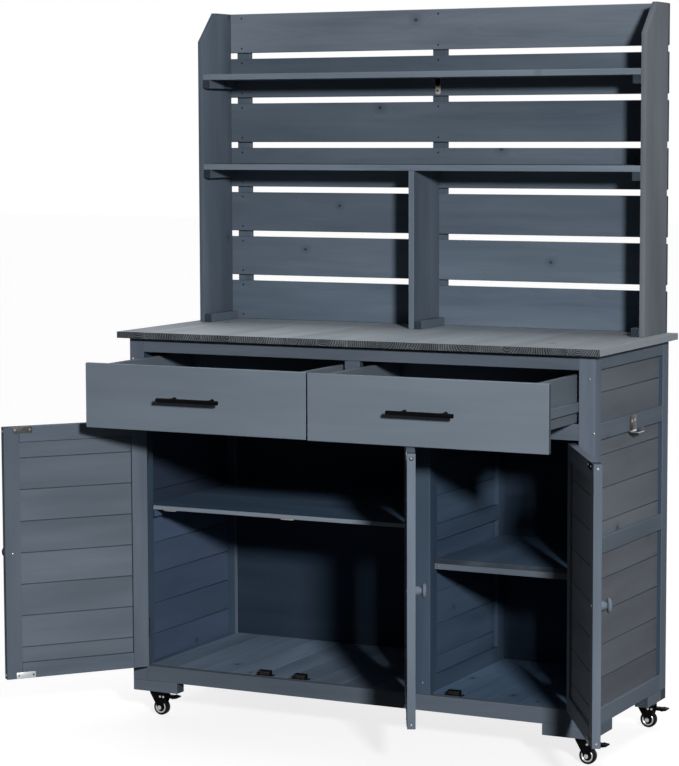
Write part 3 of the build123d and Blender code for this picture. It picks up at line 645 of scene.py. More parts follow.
class Joinery:
    """Saw bench that cuts every board of a node with rounded edges and its own grain."""

    def __init__(self, finishes: Finishes) -> None:
        """Build the tree once.

        Args:
            finishes: The bench's materials.
        """
        self.finishes = finishes
        self.tree = self.board_tree()

    def board_tree(self) -> bpy.types.NodeTree:
        """Build the tree that turns one point into one board.

        Returns:
            The tree, with inputs for the edge radius, the tones, the heart, the seed and the material.
        """
        inputs = dict.fromkeys(("Edge Radius", "Tone Spread", "Heart Depth"), "Float")
        inputs |= {"Seed": "Int", "Material": "Material"}
        wire, given, result = new_tree("cut_boards", inputs)
        seed = given.outputs["Seed"]
        index = wire.out("GeometryNodeInputIndex")
        place = wire.out("GeometryNodeInputPosition")
        shape = stored(wire, given.outputs["Geometry"], "centre", place, "FLOAT_VECTOR")
        tone = wire.out(
            "FunctionNodeRandomValue", {"Min": -1.0, "Max": 1.0, "ID": index, "Seed": seed}, data_type="FLOAT"
        )
        tone = wire.math("MULTIPLY_ADD", tone, given.outputs["Tone Spread"], 1.0)
        tone = wire.math("MULTIPLY", tone, wire.out("ShaderNodeSeparateXYZ", {0: named(wire, "level")}))
        shape = stored(wire, shape, "tone", tone, "FLOAT")
        shift = wire.out(
            "FunctionNodeRandomValue",
            {
                "Min": (-9.0, -0.05, 0.2), "Max": (9.0, 0.05, 1.0),
                "ID": index, "Seed": wire.math("ADD", seed, 1.0),
            },
            data_type="FLOAT_VECTOR",
        )
        depth = wire.out("ShaderNodeCombineXYZ", {"X": 1.0, "Y": 1.0, "Z": given.outputs["Heart Depth"]})
        shift = wire.vector("MULTIPLY", shift, depth)
        shape = stored(wire, shape, "shift", shift, "FLOAT_VECTOR")
        cube = wire.out("GeometryNodeMeshCube", {
            "Size": (1.0, 1.0, 1.0), "Vertices X": 4, "Vertices Y": 4, "Vertices Z": 4
        })
        shape = wire.out("GeometryNodeInstanceOnPoints", {"Points": shape, "Instance": cube})
        shape = wire.out("GeometryNodeRealizeInstances", {"Geometry": shape})

        local = wire.vector("SUBTRACT", place, named(wire, "centre"))
        reach = wire.vector("ABSOLUTE", local)
        outer = wire.vector("FLOOR", wire.vector("MULTIPLY_ADD", reach, (2.0, 2.0, 2.0), (0.1, 0.1, 0.1)))
        sums = wire.measure("DOT_PRODUCT", reach, (1.0, 1.0, 1.0))
        rim = wire.measure("DOT_PRODUCT", outer, (1.0, 1.0, 1.0))
        along = wire.out("ShaderNodeSeparateXYZ", {0: outer})
        side = wire.vector("SIGN", local)
        radius = wire.out("ShaderNodeCombineXYZ", {axis: given.outputs["Edge Radius"] for axis in range(3)})
        core = wire.vector("SUBTRACT", wire.vector("MULTIPLY", named(wire, "size"), (0.5, 0.5, 0.5)), radius)
        bulge = wire.vector(
            "MULTIPLY", wire.vector("NORMALIZE", wire.vector("MULTIPLY", side, outer)), radius
        )
        corner = wire.vector("MULTIPLY_ADD", side, core, bulge)

        smooth = wire.out(
            "FunctionNodeCompare", {0: sums, 1: 0.6}, operation="GREATER_THAN", data_type="FLOAT"
        )
        shape = wire.out("GeometryNodeSetShadeSmooth", {"Geometry": shape, "Shade Smooth": smooth})
        shape = stored(wire, shape, "end", along, "FLOAT", "FACE")
        shape = stored(wire, shape, "rim", rim, "FLOAT")
        shape = stored(wire, shape, "corner", corner, "FLOAT_VECTOR")
        shape = stored(wire, shape, "grain", wire.vector(
            "ADD", named(wire, "corner"), named(wire, "shift")
        ), "FLOAT_VECTOR")
        rotation = wire.out("FunctionNodeEulerToRotation", {0: named(wire, "turn")})
        turned_corner = wire.out("FunctionNodeRotateVector", {0: named(wire, "corner"), 1: rotation})
        target = wire.vector("ADD", named(wire, "centre"), turned_corner)
        shape = wire.out("GeometryNodeSetPosition", {"Geometry": shape, "Position": target})
        shape = wire.out("GeometryNodeRemoveAttribute", {"Geometry": shape, "Name": "corner"})
        shape = wire.out(
            "GeometryNodeSetMaterial", {"Geometry": shape, "Material": given.outputs["Material"]}
        )
        wire.tree.links.new(shape, result.inputs["Geometry"])
        return wire.tree

    def cut(
        self,
        node: str,
        edge: float = 1.2 * MM,
        tone: float | Callable[[Vector], float] = 1.0,
        spread: float = 0.06,
        finish: str = "",
        cast: FaceCast | None = None,
        heart: float = 60 * MM,
    ) -> bpy.types.Object:
        """Cut every board of a node and put the result in the node's place.

        Args:
            node: The node of the part that the boards replace.
            edge: Radius of the boards' rounded edges.
            tone: How light the boards are against the finish's own level, for all or by a board's middle.
            spread: How much the tone differs from board to board.
            finish: The finish, when it isn't the one of the node's slot.
            cast: What a face adds to each colour channel, by its centre and its normal.
            heart: How deep under a board the middle of its yearly rings lies at most.

        Returns:
            The finished piece.
        """
        boards = boards_of(node)
        tones = [tone(board.centre) if callable(tone) else tone for board in boards]
        vectors = {
            "size": [board.size for board in boards],
            "turn": [Vector(board.turn) for board in boards],
            "level": [Vector((level, 0, 0)) for level in tones],
        }
        seeds = seed_points(node, [board.centre for board in boards], vectors)
        inputs = {
            "Edge Radius": edge,
            "Tone Spread": spread,
            "Heart Depth": heart,
            "Seed": sum(map(ord, node)) % 1000,
            "Material": self.finishes[finish or SLOT_OF[node]],
        }
        piece = grown(f"{node}_cut", seeds, self.tree, inputs)
        if cast:
            mark(piece.data, "cast", [cast(face.center, face.normal) for face in piece.data.polygons], "FACE")
        return settle(piece, frame["nodes"][node]["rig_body"], SLOT_OF[node], node)


@dataclass
class Fixing:
    """One screw or nail head: where it sits and which way it faces."""

    place: Vector
    facing: Vector


class ScrewBox:
    """Sets screws and nails."""

    def __init__(self, finishes: Finishes) -> None:
        """Build the tree once.

        Args:
            finishes: The bench's materials.
        """
        self.finishes = finishes
        self.tree = self.head_tree()

    def head_tree(self) -> bpy.types.NodeTree:
        """Build the tree that turns one point into a domed head with a dark cross cut in it.

        Returns:
            The tree, with inputs for the radius, the height, the cross and the two materials.
        """
        inputs = dict.fromkeys(("Radius", "Height", "Cross"), "Float")
        inputs |= dict.fromkeys(("Material", "Recess"), "Material")
        wire, given, result = new_tree("set_heads", inputs)
        radius, height, cross = (given.outputs[label] for label in ("Radius", "Height", "Cross"))
        low = wire.out(
            "GeometryNodeMeshCone",
            {"Vertices": HEAD_SIDES, "Radius Top": wire.math("MULTIPLY", radius, SHOULDER_RADIUS),
             "Radius Bottom": radius, "Depth": wire.math("MULTIPLY", height, SHOULDER_HEIGHT)},
            fill_type="NONE",
        )
        top = wire.out(
            "GeometryNodeMeshCone",
            {"Vertices": HEAD_SIDES, "Radius Top": wire.math("MULTIPLY", radius, CROWN_RADIUS),
             "Radius Bottom": wire.math("MULTIPLY", radius, SHOULDER_RADIUS),
             "Depth": wire.math("MULTIPLY", height, CROWN_HEIGHT)},
            fill_type="NGON",
        )
        lift = wire.out("ShaderNodeCombineXYZ", {2: wire.math("MULTIPLY", height, SHOULDER_HEIGHT)})
        top = wire.out("GeometryNodeTransform", {"Geometry": top, "Translation": lift})
        head = wire.add("GeometryNodeJoinGeometry")
        for part in (low, top):
            wire.tree.links.new(part, head.inputs[0])
        head = wire.out("GeometryNodeSetShadeSmooth", {"Geometry": head.outputs[0], "Shade Smooth": True})
        head = wire.out("GeometryNodeSetMaterial", {"Geometry": head, "Material": given.outputs["Material"]})
        length = wire.math("MULTIPLY", wire.math("MULTIPLY", radius, CROSS_LENGTH), cross)
        width = wire.math("MULTIPLY", wire.math("MULTIPLY", radius, CROSS_WIDTH), cross)
        depth = wire.math("MULTIPLY", wire.math("MULTIPLY", height, CROSS_DEPTH), cross)
        arms = wire.add("GeometryNodeJoinGeometry")
        lift = wire.out("ShaderNodeCombineXYZ", {2: wire.math("MULTIPLY", height, CROSS_LEVEL)})
        for size in ({0: length, 1: width, 2: depth}, {0: width, 1: length, 2: depth}):
            arm = wire.out("GeometryNodeMeshCube", {"Size": wire.out("ShaderNodeCombineXYZ", size)})
            arm = wire.out("GeometryNodeTransform", {"Geometry": arm, "Translation": lift})
            wire.tree.links.new(arm, arms.inputs[0])
        arms = wire.out(
            "GeometryNodeSetMaterial", {"Geometry": arms.outputs[0], "Material": given.outputs["Recess"]}
        )
        whole = wire.add("GeometryNodeJoinGeometry")
        chosen = wire.out(
            "FunctionNodeCompare", {0: cross, 1: 0.5}, operation="GREATER_THAN", data_type="FLOAT"
        )
        arms = wire.out("GeometryNodeSwitch", {"Switch": chosen, "True": arms}, input_type="GEOMETRY")
        for part in (head, arms):
            wire.tree.links.new(part, whole.inputs[0])
        rotation = wire.out("FunctionNodeEulerToRotation", {0: named(wire, "turn")})
        shape = wire.out(
            "GeometryNodeInstanceOnPoints",
            {"Points": given.outputs["Geometry"], "Instance": whole.outputs[0], "Rotation": rotation},
        )
        shape = wire.out("GeometryNodeRealizeInstances", {"Geometry": shape})
        wire.tree.links.new(shape, result.inputs["Geometry"])
        return wire.tree

    def drive(
        self,
        name: str,
        body: str,
        fixings: list[Fixing],
        radius: float = 3.2 * MM,
        height: float = 1.1 * MM,
        finish: Coating = Coating.STEEL,
        cross: bool = True,
        replaced: tuple[str, ...] = (),
    ) -> bpy.types.Object:
        """Set a group of screws or nails that move together.

        Args:
            name: The piece's name.
            body: The body they move with.
            fixings: Where they go.
            radius: Radius of a head.
            height: How far a head stands up.
            finish: The heads' material.
            cross: Whether a head has a cross cut in it.
            replaced: Nodes of the part that they stand for.

        Returns:
            The finished piece.
        """
        turns = [
            Vector(
                (
                    fixing.facing.to_track_quat("Z", "Y") @ Euler((0, 0, HEAD_TURN * number)).to_quaternion()
                ).to_euler()
            )
            for number, fixing in enumerate(fixings)
        ]
        seeds = seed_points(name, [fixing.place for fixing in fixings], {"turn": turns})
        inputs = {
            "Radius": radius,
            "Height": height,
            "Cross": float(cross),
            "Material": self.finishes[finish],
            "Recess": self.finishes[Coating.BLACK_METAL],
        }
        return settle(grown(name, seeds, self.tree, inputs), body, "steel", *replaced)


def turned(profile: Outline, steps: int = 32) -> bmesh.types.BMesh:
    """Turn a profile round the Z axis, with its outside facing out when it runs upwards.

    Args:
        profile: Radius and height of each point.
        steps: How many sides a full turn has.

    Returns:
        The shape, closed where the profile meets the axis.
    """
    shape = bmesh.new()
    angles = [2 * math.pi * step / steps for step in range(steps)]
    rings = [
        [shape.verts.new((0, 0, height))] if radius == 0
        else [shape.verts.new((radius * math.cos(a), radius * math.sin(a), height)) for a in angles]
        for radius, height in profile
    ]
    for low, high in zip(rings, rings[1:]):
        for step in range(steps):
            after = (step + 1) % steps
            loop = [
                low[step % len(low)], low[after % len(low)], high[after % len(high)], high[step % len(high)]
            ]
            shape.faces.new(list(dict.fromkeys(loop)))
    return shape


def milled(outline: Outline, thickness: float, edge: float = 0.0, segments: int = 2) -> bmesh.types.BMesh:
    """Cut a plate to an outline in XY and give it rounded edges.

    Args:
        outline: Corner points, anticlockwise.
        thickness: How far the plate rises along Z.
        edge: Radius of its edges; the ones between two nearly level faces stay as they are.
        segments: Steps in each rounded edge.

    Returns:
        The shape, with its bottom at zero.
    """
    shape = bmesh.new()
    low = [shape.verts.new((x, y, 0)) for x, y in outline]
    high = [shape.verts.new((x, y, thickness)) for x, y in outline]
    shape.faces.new(low[::-1])
    shape.faces.new(high)
    for index in range(len(outline)):
        after = (index + 1) % len(outline)
        shape.faces.new((low[index], low[after], high[after], high[index]))
    if edge:
        shape.normal_update()
        sharp = [line for line in shape.edges if line.calc_face_angle() > BEVEL_FROM_ANGLE]
        rounded_edge = bmesh.ops.bevel(
            shape, geom=sharp, offset=edge, segments=segments, profile=0.5, affect="EDGES", clamp_overlap=True
        )
        for face in rounded_edge["faces"]:
            face.smooth = True
    return shape


def rounded(outline: Outline, radii: float | tuple[float, ...], steps: int = 4) -> Outline:
    """Round the corners of an outline.

    Args:
        outline: Corner points.
        radii: Radius for every corner, or one for each; 0 leaves a corner sharp.
        steps: Lines in each rounded corner.

    Returns:
        The new outline.
    """
    result = []
    for index, corner in enumerate(outline):
        radius = radii[index] if isinstance(radii, tuple) else radii
        if not radius:
            result.append(corner)
            continue
        here = Vector(corner)
        before = Vector(outline[index - 1]) - here
        after = Vector(outline[(index + 1) % len(outline)]) - here
        reach = radius / math.tan(before.angle(after) / 2)
        start, stop = here + before.normalized() * reach, here + after.normalized() * reach
        for step in range(steps + 1):
            share = step / steps
            point = start.lerp(here, share).lerp(here.lerp(stop, share), share)
            result.append(tuple(point))
    return result


def rectangle(width: float, height: float) -> Outline:
    """Corners of a rectangle round the origin."""
    return [
        (-width / 2, -height / 2), (width / 2, -height / 2), (width / 2, height / 2), (-width / 2, height / 2)
    ]


def blank(
    width: float, height: float, corners: float | tuple[float, ...], sheet: float, edge: float
) -> bmesh.types.BMesh:
    """Rectangular plate round the origin, with rounded corners and edges."""
    return milled(rounded(rectangle(width, height), corners), sheet, edge)


def stand(place: Vector, x_axis: Vector, z_axis: Vector) -> Matrix:
    """Matrix that puts a shape's origin at a place, with its X and Z along two directions.

    Args:
        place: Where the origin goes.
        x_axis: Direction of the shape's X.
        z_axis: Direction of the shape's Z, square to X.

    Returns:
        The matrix.
    """
    x, z = Vector(x_axis).normalized(), Vector(z_axis).normalized()
    turn = Matrix((x, z.cross(x), z)).transposed().to_4x4()
    return Matrix.Translation(place) @ turn


class Assembly:
    """One finished object, put together from several shapes."""

    def __init__(self, name: str) -> None:
        """Start an empty piece.

        Args:
            name: The piece's name.
        """
        self.mesh = bpy.data.meshes.new(name)
        self.shape = bmesh.new()
        self.materials: list[bpy.types.Material] = []

    def add(
        self,
        shape: bmesh.types.BMesh,
        material: bpy.types.Material,
        place: Matrix = Matrix.Identity(4),
        smooth: bool = False,
    ) -> None:
        """Add a shape.

        Args:
            shape: The shape, which is used up.
            material: Its material.
            place: Where it goes.
            smooth: Whether all of it is shaded smooth.
        """
        if material not in self.materials:
            self.materials.append(material)
        for face in shape.faces:
            face.material_index = self.materials.index(material)
            face.smooth = face.smooth or smooth
        shape.transform(place)
        passing = bpy.data.meshes.new("passing")
        shape.to_mesh(passing)
        shape.free()
        self.shape.from_mesh(passing)
        bpy.data.meshes.remove(passing)

    def done(
        self, body: str, slot: str, *nodes: str, grain: Matrix | None = None, tone: float = 1.0
    ) -> bpy.types.Object:
        """Make the object.

        Args:
            body: The body it moves with.
            slot: The record's material slot.
            nodes: The nodes of the part that it replaces.
            grain: For wood, the matrix from the bench's frame to the board's grain.
            tone: For wood, how light it is.

        Returns:
            The finished piece.
        """
        bmesh.ops.remove_doubles(self.shape, verts=self.shape.verts, dist=0.0005 * MM)
        self.shape.to_mesh(self.mesh)
        self.shape.free()
        for material in self.materials:
            self.mesh.materials.append(material)
        self.mesh.set_sharp_from_angle(angle=BOARD_SMOOTH_ANGLE)
        if grain is not None:
            mark(self.mesh, "grain", [grain @ vertex.co for vertex in self.mesh.vertices])
            layer = self.mesh.attributes.new("tone", "FLOAT", "POINT")
            layer.data.foreach_set("value", np.full(len(self.mesh.vertices), tone, np.float32))
        piece = placed(self.mesh.name, self.mesh)
        return settle(piece, body, slot, *nodes)


@dataclass
class Worktop:
    """Thin boards laid from front to back."""

    edge: float = 0.2 * MM

    def build(self, joinery: Joinery) -> None:
        """Cut the boards."""
        joinery.cut("worktop_boards", self.edge, tone=self.tone, spread=0.035, heart=18 * MM)

    def tone(self, place: Vector) -> float:
        """Boards that are lightest left of the middle: painted light, following how the light falls across
        the top and making up for the hutch's shadow on its middle.
        """
        return float(np.interp(place.x, (-0.56, -0.32, 0.0, 0.3, 0.55), (1.15, 1.5, 1.35, 1.22, 1.08)))


@dataclass
class Cabinet:
    """Posts, rails, boarded sides, floor, partition and shelves."""

    edge: float = 1.3 * MM
    groove: float = 1.7 * MM
    post_edge: float = 0.9 * MM
    foot_edge: float = 1.2 * MM
    shelf_edge: float = 1.0 * MM
    width: float = 1150 * MM
    front: float = -230 * MM
    back: float = 212 * MM
    bottom: float = 135 * MM
    top: float = 860 * MM
    # Painted shade: colour shifts that darken the faces inside the cabinet, the side boards above the left
    # shelf and the middle post's front.
    panel_shade_cast: Vector = Vector((-0.45, -0.28, 0.02))
    frame_cast: Vector = Vector((-0.64, -0.54, -0.45))
    post_shade_cast: Vector = Vector((-0.42, -0.3, -0.2))
    left_floor_cast: Vector = Vector((0.25, 0.06, -0.08))
    left_floor_end: float = 100 * MM
    mid_post: float = 174 * MM
    shaded_above: float = 480 * MM
    shaded_level: float = 0.42
    front_screws: tuple[tuple[float, float], ...] = (
        (-572, 850), (567, 848), (-1, 839), (172.7, 151), (578, 731)
    )
    batten_screw: tuple[float, float] = (8 * MM, 7 * MM)

    def build(self, joinery: Joinery, screws: ScrewBox) -> None:
        """Cut every wooden piece of the cabinet and set the screws of its front.

        Args:
            joinery: The saw bench.
            screws: The screws.
        """
        for node in ("face_frame", "side_rails", "back_rails"):
            joinery.cut(node, self.edge, tone=0.95, cast=self.frame_stain)
        joinery.cut("cabinet_posts", self.post_edge, tone=1.1, cast=self.frame_stain)
        joinery.cut("foot_blocks", self.foot_edge, tone=1.1)
        # The partition and the back panel take the dark inner stain at low tones: painted shade.
        joinery.cut("partition_frame", 0.6 * MM, tone=0.62, finish="inner_wood")
        joinery.cut("side_boards", self.groove, tone=self.side_tone, cast=self.panel_painted_shade)
        joinery.cut("partition_boards", self.groove, tone=0.68, finish="inner_wood")
        joinery.cut("floor_boards", 0.4 * MM, tone=self.floor_painted_light_tone, cast=self.left_floor_warmth)
        joinery.cut("back_panel", 0.5 * MM, tone=0.36, finish="inner_wood")
        # The shelves' front faces are made paler: painted light.
        joinery.cut("shelf_left", self.shelf_edge, tone=1.05, cast=PaintedLightFrontEdge(2.39, 1.5, 0.88))
        joinery.cut("shelf_right", self.shelf_edge, tone=0.95, cast=PaintedLightFrontEdge(0.86, 0.41, 0.11))
        for node in ("cabinet_cleats", "drawer_guides"):
            joinery.cut(node, self.shelf_edge)
        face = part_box("face_frame")[0].y
        heads = [Fixing(Vector((x * MM, face, z * MM)), FORWARD) for x, z in self.front_screws]
        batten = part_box("shelf_right")[0]
        inset, rise = self.batten_screw
        heads.append(Fixing(batten + Vector((inset, 0, rise)), FORWARD))
        screws.drive("cabinet_front_screws", "cabinet", heads, 2.6 * MM, 0.6 * MM)

    def side_tone(self, place: Vector) -> float:
        """Side boards that darken a little from the top down."""
        return 0.8 + 0.45 * place.z

    def inside(self, centre: Vector, normal: Vector) -> bool:
        """Whether a face looks into the cabinet.

        Args:
            centre: The face's middle.
            normal: Its direction.

        Returns:
            True when a point just ahead of the face lies inside the cabinet.
        """
        ahead = centre + normal * 5 * MM
        within = abs(ahead.x) < self.width / 2 and self.front < ahead.y < self.back
        return within and self.bottom < ahead.z < self.top

    def floor_painted_light_tone(self, place: Vector) -> float:
        """Floor boards lighter and darker from the left to the right: painted light and shade where the lamp
        falls and the doors' shadows lie.
        """
        return float(np.interp(place.x, (-0.5, -0.3, -0.1, 0.0, 0.25, 0.33), (1.6, 2.2, 1.5, 1.1, 1.6, 1.1)))

    def left_floor_warmth(self, centre: Vector, normal: Vector) -> Vector:
        """Warmer colour on the floor of the left compartment."""
        return self.left_floor_cast if centre.x < self.left_floor_end else Vector()

    def panel_painted_shade(self, centre: Vector, normal: Vector) -> Vector:
        """Painted shade on the side boards' faces.

        Args:
            centre: The face's middle.
            normal: Its direction.

        Returns:
            What the face adds to each colour channel: painted shade, darker and bluer inside, darkest above
            the left shelf.
        """
        if not self.inside(centre, normal):
            return Vector()
        kept = self.shaded_level if centre.x < 0 and centre.z > self.shaded_above else 1.0
        return (self.panel_shade_cast + Vector((1, 1, 1))) * kept - Vector((1, 1, 1))

    def frame_stain(self, centre: Vector, normal: Vector) -> Vector:
        """Painted shade on the frame's faces.

        Args:
            centre: The face's middle.
            normal: Its direction.

        Returns:
            What the face adds to each colour channel: painted shade, dark inside, half as dark on the middle
            post's front.
        """
        if self.inside(centre, normal):
            return self.frame_cast
        if abs(centre.x - self.mid_post) < 20 * MM and centre.z < 700 * MM and normal.y < 0:
            return self.post_shade_cast
        return Vector()


@dataclass(frozen=True)
class PaintedLightFrontEdge:
    """Paler colour on a shelf's forward-facing faces, painted light: what its front adds to each colour
    channel.
    """

    red: float
    green: float
    blue: float

    def __call__(self, centre: Vector, normal: Vector) -> Vector:
        """What a face adds, which is nothing where it doesn't look forward."""
        return Vector((self.red, self.green, self.blue)) if normal.y < FACES_FORWARD else Vector()


@dataclass
class Drawer:
    """One drawer: its front, its box and its bar handle."""

    side: str
    tone: float = 1.0
    bar_radius: float = 5 * MM
    post_radius: float = 4 * MM
    post_spacing: float = 96 * MM
    nose: float = 0.9 * MM
    front_edge: float = 1.4 * MM
    box_edge: float = 1.2 * MM
    box_tone: float = 0.68

    def build(self, joinery: Joinery) -> None:
        """Cut the front and the box, and turn the handle.

        Args:
            joinery: The saw bench.
        """
        body = f"drawer_{self.side}"
        joinery.cut(f"{body}_front", self.front_edge, tone=self.tone)
        joinery.cut(f"{body}_box", self.box_edge, tone=self.box_tone, finish="drawer_wood")
        low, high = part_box(f"{body}_handle")
        face_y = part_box(f"{body}_front")[0].y
        middle = (low + high) / 2
        black = joinery.finishes[Coating.BLACK_METAL]
        handle = Assembly(f"{body}_bar_handle")
        length = high.x - low.x
        r, nose = self.bar_radius, self.nose
        bar = [(0, 0), (r - nose, 0), (r - 0.3 * nose, 0.3 * nose), (r, nose)]
        bar += [(radius, length - height) for radius, height in reversed(bar)]
        start = Vector((low.x, low.y + r, middle.z))
        handle.add(turned(bar, 28), black, stand(start, BACK, RIGHT), smooth=True)
        reach = face_y - start.y
        post = [
            (self.post_radius * 1.3, 0), (self.post_radius * 1.3, 1.2 * MM), (self.post_radius, 2.0 * MM),
            (self.post_radius, reach - r * 0.5),
        ]
        for offset in (-self.post_spacing / 2, self.post_spacing / 2):
            base = Vector((middle.x + offset, face_y, middle.z))
            handle.add(turned(post, 24), black, stand(base, RIGHT, FORWARD), smooth=True)
        handle.done(body, "black_metal", f"{body}_handle")


KNOB_PROFILE = (
    (9.6, 0), (10.0, 0.5), (10.1, 3.0), (9.7, 6.0), (8.6, 8.6), (7.0, 10.6), (6.5, 12.0), (7.4, 13.2),
    (11.0, 14.1), (14.4, 15.0), (15.7, 16.3), (16.0, 18.0), (15.5, 20.0), (13.8, 21.8), (10.2, 23.1),
    (5.2, 23.8), (0, 24.0),
)


@dataclass
class Door:
    """One door: frame, boards, turned knob, strikes and hinges."""

    name: str
    run: int
    opening: float
    # A strike coating other than steel is painted shade.
    top_strike: Coating = Coating.STEEL
    low_strike: Coating = Coating.STEEL
    frame_tone: float = 1.0
    board_tone: float = 1.0
    free_tone: float = 0.0
    board_cast: Vector = Vector()
    frame_edge: float = 0.9 * MM
    board_edge: float = 1.7 * MM
    gap: float = 2.4 * MM
    width: float = 346 * MM
    thickness: float = 18 * MM
    pin_forward: float = 3.2 * MM
    stile: float = 37 * MM
    strike_inset: float = 45 * MM
    strike_size: tuple[float, float, float] = (46 * MM, 15 * MM, 1.2 * MM)
    strike_rise: float = 7.7 * MM
    strike_screws: float = 0.38
    joint_screws: tuple[float, float] = (9 * MM, 10 * MM)
    hinge_inset: float = 60 * MM
    hinge_height: float = 50 * MM
    knuckle: float = 3 * MM
    knuckle_gap: float = 0.2 * MM
    leaf_sheet: float = 1 * MM
    leaf_depth: float = 16 * MM

    def __post_init__(self) -> None:
        """Find the hinge pin and the door's own directions."""
        self.body = f"door_{self.name}"
        hinge = next(joint for joint in frame["joints"] if joint["child"] == self.body)
        self.pin = Vector((hinge["pos_m"][0], hinge["pos_m"][1], 0))
        turn = math.radians(self.opening)
        self.along = Vector((self.run * math.cos(turn), -math.sin(turn), 0))
        self.inward = UP.cross(self.along) * self.run
        self.low, self.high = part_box(f"{self.body}_frame")

    def at(self, along: float, inward: float, height: float) -> Vector:
        """Point on the open door, by its distance from the pin along it and through it."""
        return self.pin + self.along * along + self.inward * inward + Vector((0, 0, height))

    @property
    def free_edge(self) -> float:
        """Distance from the pin to the door's free edge."""
        return self.gap / 2 + self.width

    @property
    def inner_face(self) -> float:
        """Distance from the pin to the door's inner face, through the door."""
        return self.pin_forward + self.thickness

    def build(self, joinery: Joinery, screws: ScrewBox) -> None:
        """Cut the wood, turn the knob and fit the metal.

        Args:
            joinery: The saw bench.
            screws: The screws.
        """
        joinery.cut(f"{self.body}_frame", self.frame_edge, tone=self.tone)
        joinery.cut(f"{self.body}_boards", self.board_edge, tone=self.board_tone, cast=self.board_stain)
        self.knob(joinery)
        self.metal(joinery.finishes)
        self.fixings(screws)

    def tone(self, place: Vector) -> float:
        """How light a piece of the frame is: the stile at the free edge may differ."""
        at_free_edge = (place - self.pin).dot(self.along) > self.free_edge - self.stile
        return self.free_tone if self.free_tone and at_free_edge else self.frame_tone

    def board_stain(self, centre: Vector, normal: Vector) -> Vector:
        """The same stain on every face of the boards."""
        return self.board_cast

    def knob(self, joinery: Joinery) -> None:
        """Turn the knob from the same wood as the door.

        Args:
            joinery: The saw bench, for its finishes.
        """
        slot = SLOT_OF[f"{self.body}_knob"]
        knob = Assembly(f"{self.body}_turned_knob")
        base = self.at(self.free_edge - self.stile / 2, self.pin_forward, (self.low.z + self.high.z) / 2)
        place = stand(base, UP, -self.inward)
        shape = turned([(radius * MM, height * MM) for radius, height in KNOB_PROFILE], 36)
        knob.add(shape, joinery.finishes[slot], place, smooth=True)
        lengthwise = Matrix(((0, 0, 1, 2.0 + self.run), (0, 1, 0, 0.012), (1, 0, 0, 0.004), (0, 0, 0, 1)))
        knob.done(self.body, slot, f"{self.body}_knob", grain=lengthwise @ place.inverted(), tone=1.15)

    def metal(self, finishes: Finishes) -> None:
        """Fit two strikes to the inner face and two butt hinges to the edge.

        Args:
            finishes: The bench's materials.
        """
        metal = Assembly(f"{self.body}_strikes_and_hinges")
        length, height, sheet = self.strike_size
        middle = self.free_edge - self.strike_inset
        for level, finish in zip(self.strike_levels, (self.low_strike, self.top_strike)):
            plate = blank(length, height, 2.5 * MM, sheet, 0.35 * MM)
            place = stand(self.at(middle, self.inner_face, level), self.along, self.inward)
            metal.add(plate, finishes[finish], place)
        # Hinges in dark tarnish, partly painted shade along the hinge side.
        dark = finishes[Coating.TARNISH]
        for bottom in (self.low.z + self.hinge_inset, self.high.z - self.hinge_inset - self.hinge_height):
            third = (self.hinge_height - 2 * self.knuckle_gap) / 3
            r, bevel = self.knuckle, 0.3 * MM
            barrel = [(0, 0), (r - bevel, 0), (r, bevel), (r, third - bevel), (r - bevel, third), (0, third)]
            upright = (RIGHT, UP)
            middle_third = self.at(0, 0, bottom + third + self.knuckle_gap)
            metal.add(turned(barrel, 20), dark, stand(middle_third, *upright), True)
            pin = [(0, 0), (r / 2, 0), (r / 2, self.hinge_height), (0, self.hinge_height)]
            metal.add(turned(pin, 12), dark, stand(self.at(0, 0, bottom), *upright), True)
            half = bottom + self.hinge_height / 2
            reach = self.pin_forward + self.leaf_depth
            for start, tall in ((self.pin_forward, self.hinge_height), (0.0, third)):
                leaf = milled(rectangle(reach - start, tall), self.leaf_sheet)
                place = self.at(self.gap / 2 - self.leaf_sheet, (reach + start) / 2, half)
                metal.add(leaf, dark, stand(place, self.inward, self.along))
        metal.done(self.body, "steel", f"{self.body}_hardware")

    @property
    def strike_levels(self) -> tuple[float, float]:
        """Heights of the middles of the two strikes."""
        return self.low.z + self.strike_rise, self.high.z - self.strike_rise

    def fixings(self, screws: ScrewBox) -> None:
        """Set the screws of the strikes, of the knob and of the frame's joints.

        Args:
            screws: The screws.
        """
        middle = self.free_edge - self.strike_inset
        plate = self.inner_face + self.strike_size[2]
        reach = self.strike_size[0] * self.strike_screws
        bright_heads = self.top_strike is not Coating.STEEL
        for level, label in zip(self.strike_levels, ("low", "high")):
            heads = [
                Fixing(self.at(middle + offset, plate, level), self.inward) for offset in (-reach, reach)
            ]
            finish = Coating.STEEL if label == "high" and bright_heads else Coating.TARNISH
            screws.drive(f"{self.body}_{label}_strike_screws", self.body, heads, 2.2 * MM, 0.5 * MM, finish)
        half = self.pin_forward + self.thickness / 2
        joints = [Fixing(self.at(self.free_edge, half, height), self.along)
                  for height in (self.low.z + self.joint_screws[0], self.high.z - self.joint_screws[1])]
        knob = self.at(self.free_edge - self.stile / 2, self.inner_face, (self.low.z + self.high.z) / 2)
        if self.run < 0 and not bright_heads:
            heads = [Fixing(joints[1].place, self.along)]
            screws.drive(
                f"{self.body}_cup_washer", self.body, heads, 5.0 * MM, 0.4 * MM, Coating.TARNISH, cross=False
            )
        screws.drive(
            f"{self.body}_frame_screws", self.body, [*joints, Fixing(knob, self.inward)], 2.7 * MM, 0.7 * MM
        )


